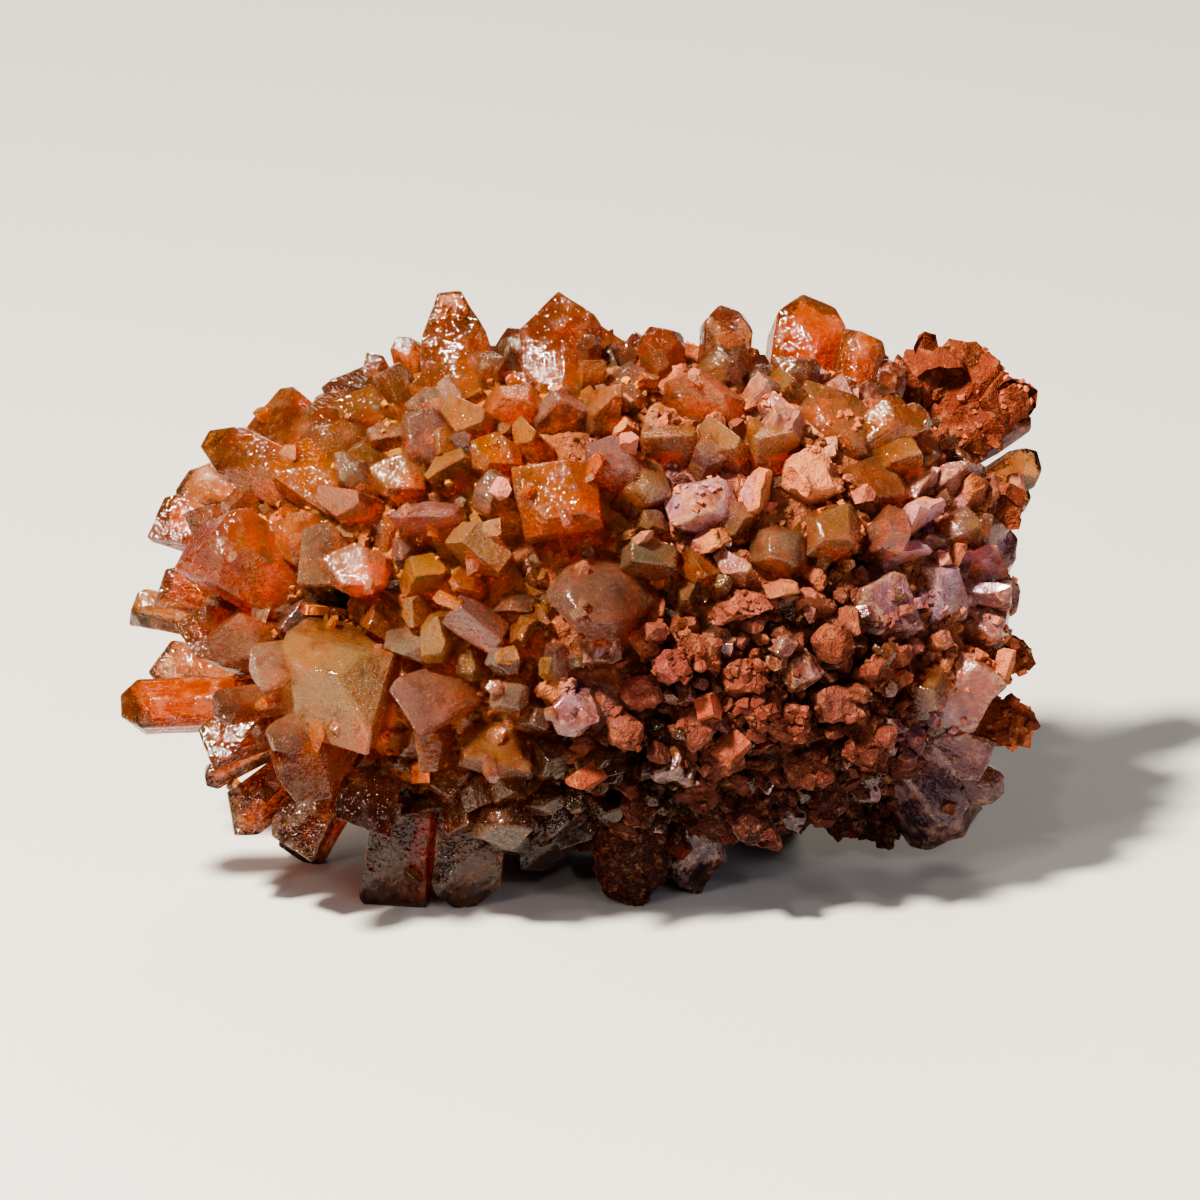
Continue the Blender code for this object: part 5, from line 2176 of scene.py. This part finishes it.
    def bump(
        self,
        height: Socket,
        strength: float,
        distance: float,
        below: Socket | None,
    ) -> Socket:
        """Turn a height into a relief of the surface.

        Args:
            height: The height, 0 to 1.
            strength: How much of it shows.
            distance: The relief's depth in metres.
            below: Another relief that this one lies on.

        Returns:
            The normal.
        """
        node = self.tree.nodes.new("ShaderNodeBump")
        node.inputs["Strength"].default_value = strength
        node.inputs["Distance"].default_value = distance
        self.link(height, node.inputs["Height"])
        if below is not None:
            self.link(below, node.inputs["Normal"])
        return node.outputs["Normal"]

    def absorb(self, colour: tuple, density: float) -> None:
        """Give the inside a plain absorption.

        Args:
            colour: What is left of white light.
            density: How strongly it is absorbed, for each metre.
        """
        node = self.tree.nodes.new("ShaderNodeVolumeAbsorption")
        node.inputs["Color"].default_value = (*colour, 1.0)
        node.inputs["Density"].default_value = density
        output = self.tree.nodes["Material Output"]
        self.link(node.outputs["Volume"], output.inputs["Volume"])


GLASSY_FINISH = CrystalFinish("amber_creedite", 0.87, (1.0, 0.53, 0.20), 960.0, 0.03, 0.20)
CLEAR_FINISH = CrystalFinish(
    "smoky_creedite",
    0.92,
    (1.0, 0.66, 0.40),
    560.0,
    0.03,
    0.22,
    cloud=(0.86, 0.50, 0.24, 1.0),
    shade=(0.46, 0.18, 0.08, 1.0),
)
SATIN_FINISH = CrystalFinish(
    "rosy_creedite",
    0.45,
    (1.0, 0.52, 0.34),
    420.0,
    0.16,
    0.24,
    sheen_tint=(0.80, 0.72, 1.0),
    coat=0.25,
    relief=0.6,
    spark=0.22,
    veil_share=0.3,
    veil=(0.50, 0.27, 0.27, 1.0),
    cloud=(0.62, 0.22, 0.07, 1.0),
    shade=(0.16, 0.04, 0.02, 1.0),
)


@dataclass(frozen=True)
class Lamp:
    """A soft round light: its place and size in metres, its power in watts and its colour."""

    name: str
    place: tuple
    size: float
    power: float
    colour: tuple


GLINT = (0.014, 0.14, (1.0, 0.97, 0.93))
LAMPS = (
    Lamp("key", (-0.15, -0.15, 0.34), 0.055, 5.6, (1.0, 0.92, 0.78)),
    Lamp("side", (-0.30, -0.28, 0.16), 0.05, 0.3, (1.0, 0.93, 0.84)),
    Lamp("glint_0", (-0.16, -0.32, 0.28), *GLINT),
    Lamp("glint_1", (0.09, -0.36, 0.25), *GLINT),
    Lamp("glint_2", (-0.05, -0.22, 0.40), *GLINT),
    Lamp("fill", (0.32, -0.24, 0.20), 0.12, 0.2, (0.84, 0.78, 1.0)),
    Lamp("back", (0.02, 0.30, 0.26), 0.18, 0.4, (1.0, 0.94, 0.82)),
)


@dataclass
class Studio:
    """The pale floor, the soft lights and the camera."""

    floor_size: float = 3.0
    lens: float = 240.0
    sensor: float = 36.0
    nearest: float = 0.01
    floor_tint: tuple = (0.62, 0.61, 0.59, 1.0)
    floor_rough: float = 0.8
    room_tint: tuple = (0.95, 0.96, 1.0, 1.0)
    room_light: float = 0.085
    lamps_aim: tuple = (0.0, 0.0, 0.012)
    look: str = "AgX - Medium High Contrast"

    def build(self) -> None:
        """Set up the floor, lights and camera."""
        self.lay_floor()
        for lamp in LAMPS:
            self.hang_light(lamp)
        self.set_world()
        self.place_camera()
        bpy.context.scene.view_settings.look = self.look

    def lay_floor(self) -> None:
        """Lay the floor under the cluster."""
        bpy.ops.object.select_all(action="DESELECT")
        bpy.ops.mesh.primitive_plane_add(size=self.floor_size, location=(0.0, 0.0, 0.0))
        floor = bpy.context.object
        floor.name = "floor"
        paint = bpy.data.materials.new("pale_floor")
        paint.use_nodes = True
        shader = paint.node_tree.nodes["Principled BSDF"]
        shader.inputs["Base Color"].default_value = self.floor_tint
        shader.inputs["Roughness"].default_value = self.floor_rough
        floor.data.materials.append(paint)

    def hang_light(self, lamp: Lamp) -> None:
        """Hang a soft light that faces the cluster.

        Args:
            lamp: The light.
        """
        light = bpy.data.lights.new(lamp.name, "AREA")
        light.shape = "DISK"
        light.size = lamp.size
        light.energy = lamp.power
        light.color = lamp.colour
        hung = bpy.data.objects.new(lamp.name, light)
        bpy.context.scene.collection.objects.link(hung)
        hung.location = lamp.place
        way = Vector(self.lamps_aim) - Vector(lamp.place)
        hung.rotation_euler = way.to_track_quat("-Z", "Y").to_euler()

    def set_world(self) -> None:
        """Fill the room with even pale light."""
        world = bpy.data.worlds.new("room")
        bpy.context.scene.world = world
        world.use_nodes = True
        background = world.node_tree.nodes["Background"]
        background.inputs["Color"].default_value = self.room_tint
        background.inputs["Strength"].default_value = self.room_light

    def place_camera(self) -> None:
        """Put the camera where the front view looks from."""
        data = bpy.data.cameras.new("camera")
        data.lens = self.lens
        data.sensor_width = self.sensor
        data.clip_start = self.nearest
        camera = bpy.data.objects.new("camera", data)
        bpy.context.scene.collection.objects.link(camera)
        camera.location = (Vector(VIEW.aim) + VIEW.toward_way() * VIEW.distance) * MM
        camera.rotation_euler = (math.pi / 2 - VIEW.tilt, 0.0, 0.0)
        bpy.context.scene.camera = camera


def main() -> None:
    """Build the cluster's pieces in order, then the studio."""
    logging.basicConfig(level=logging.INFO, format="%(name)s %(message)s")
    noise.seed_set(NOISE_SEED)
    clay = ClayFinish("iron_clay").make()
    finishes = {
        Family.GLASSY: GLASSY_FINISH.make(),
        Family.CLEAR: CLEAR_FINISH.make(),
        Family.SATIN: SATIN_FINISH.make(),
        Family.CLAY: clay,
    }
    core = Core()
    skin = core.build(clay)
    growth = Growth(core)
    pools = growth.build(finishes)
    surface = Surface.over(core, skin, pools)
    Thicket(Growth(core, root_length=0.9), surface).build(finishes)
    Druse(surface).build(finishes)
    ClayCrumbs(surface).build(clay)
    Studio().build()


if __name__ == "__main__":
    main()
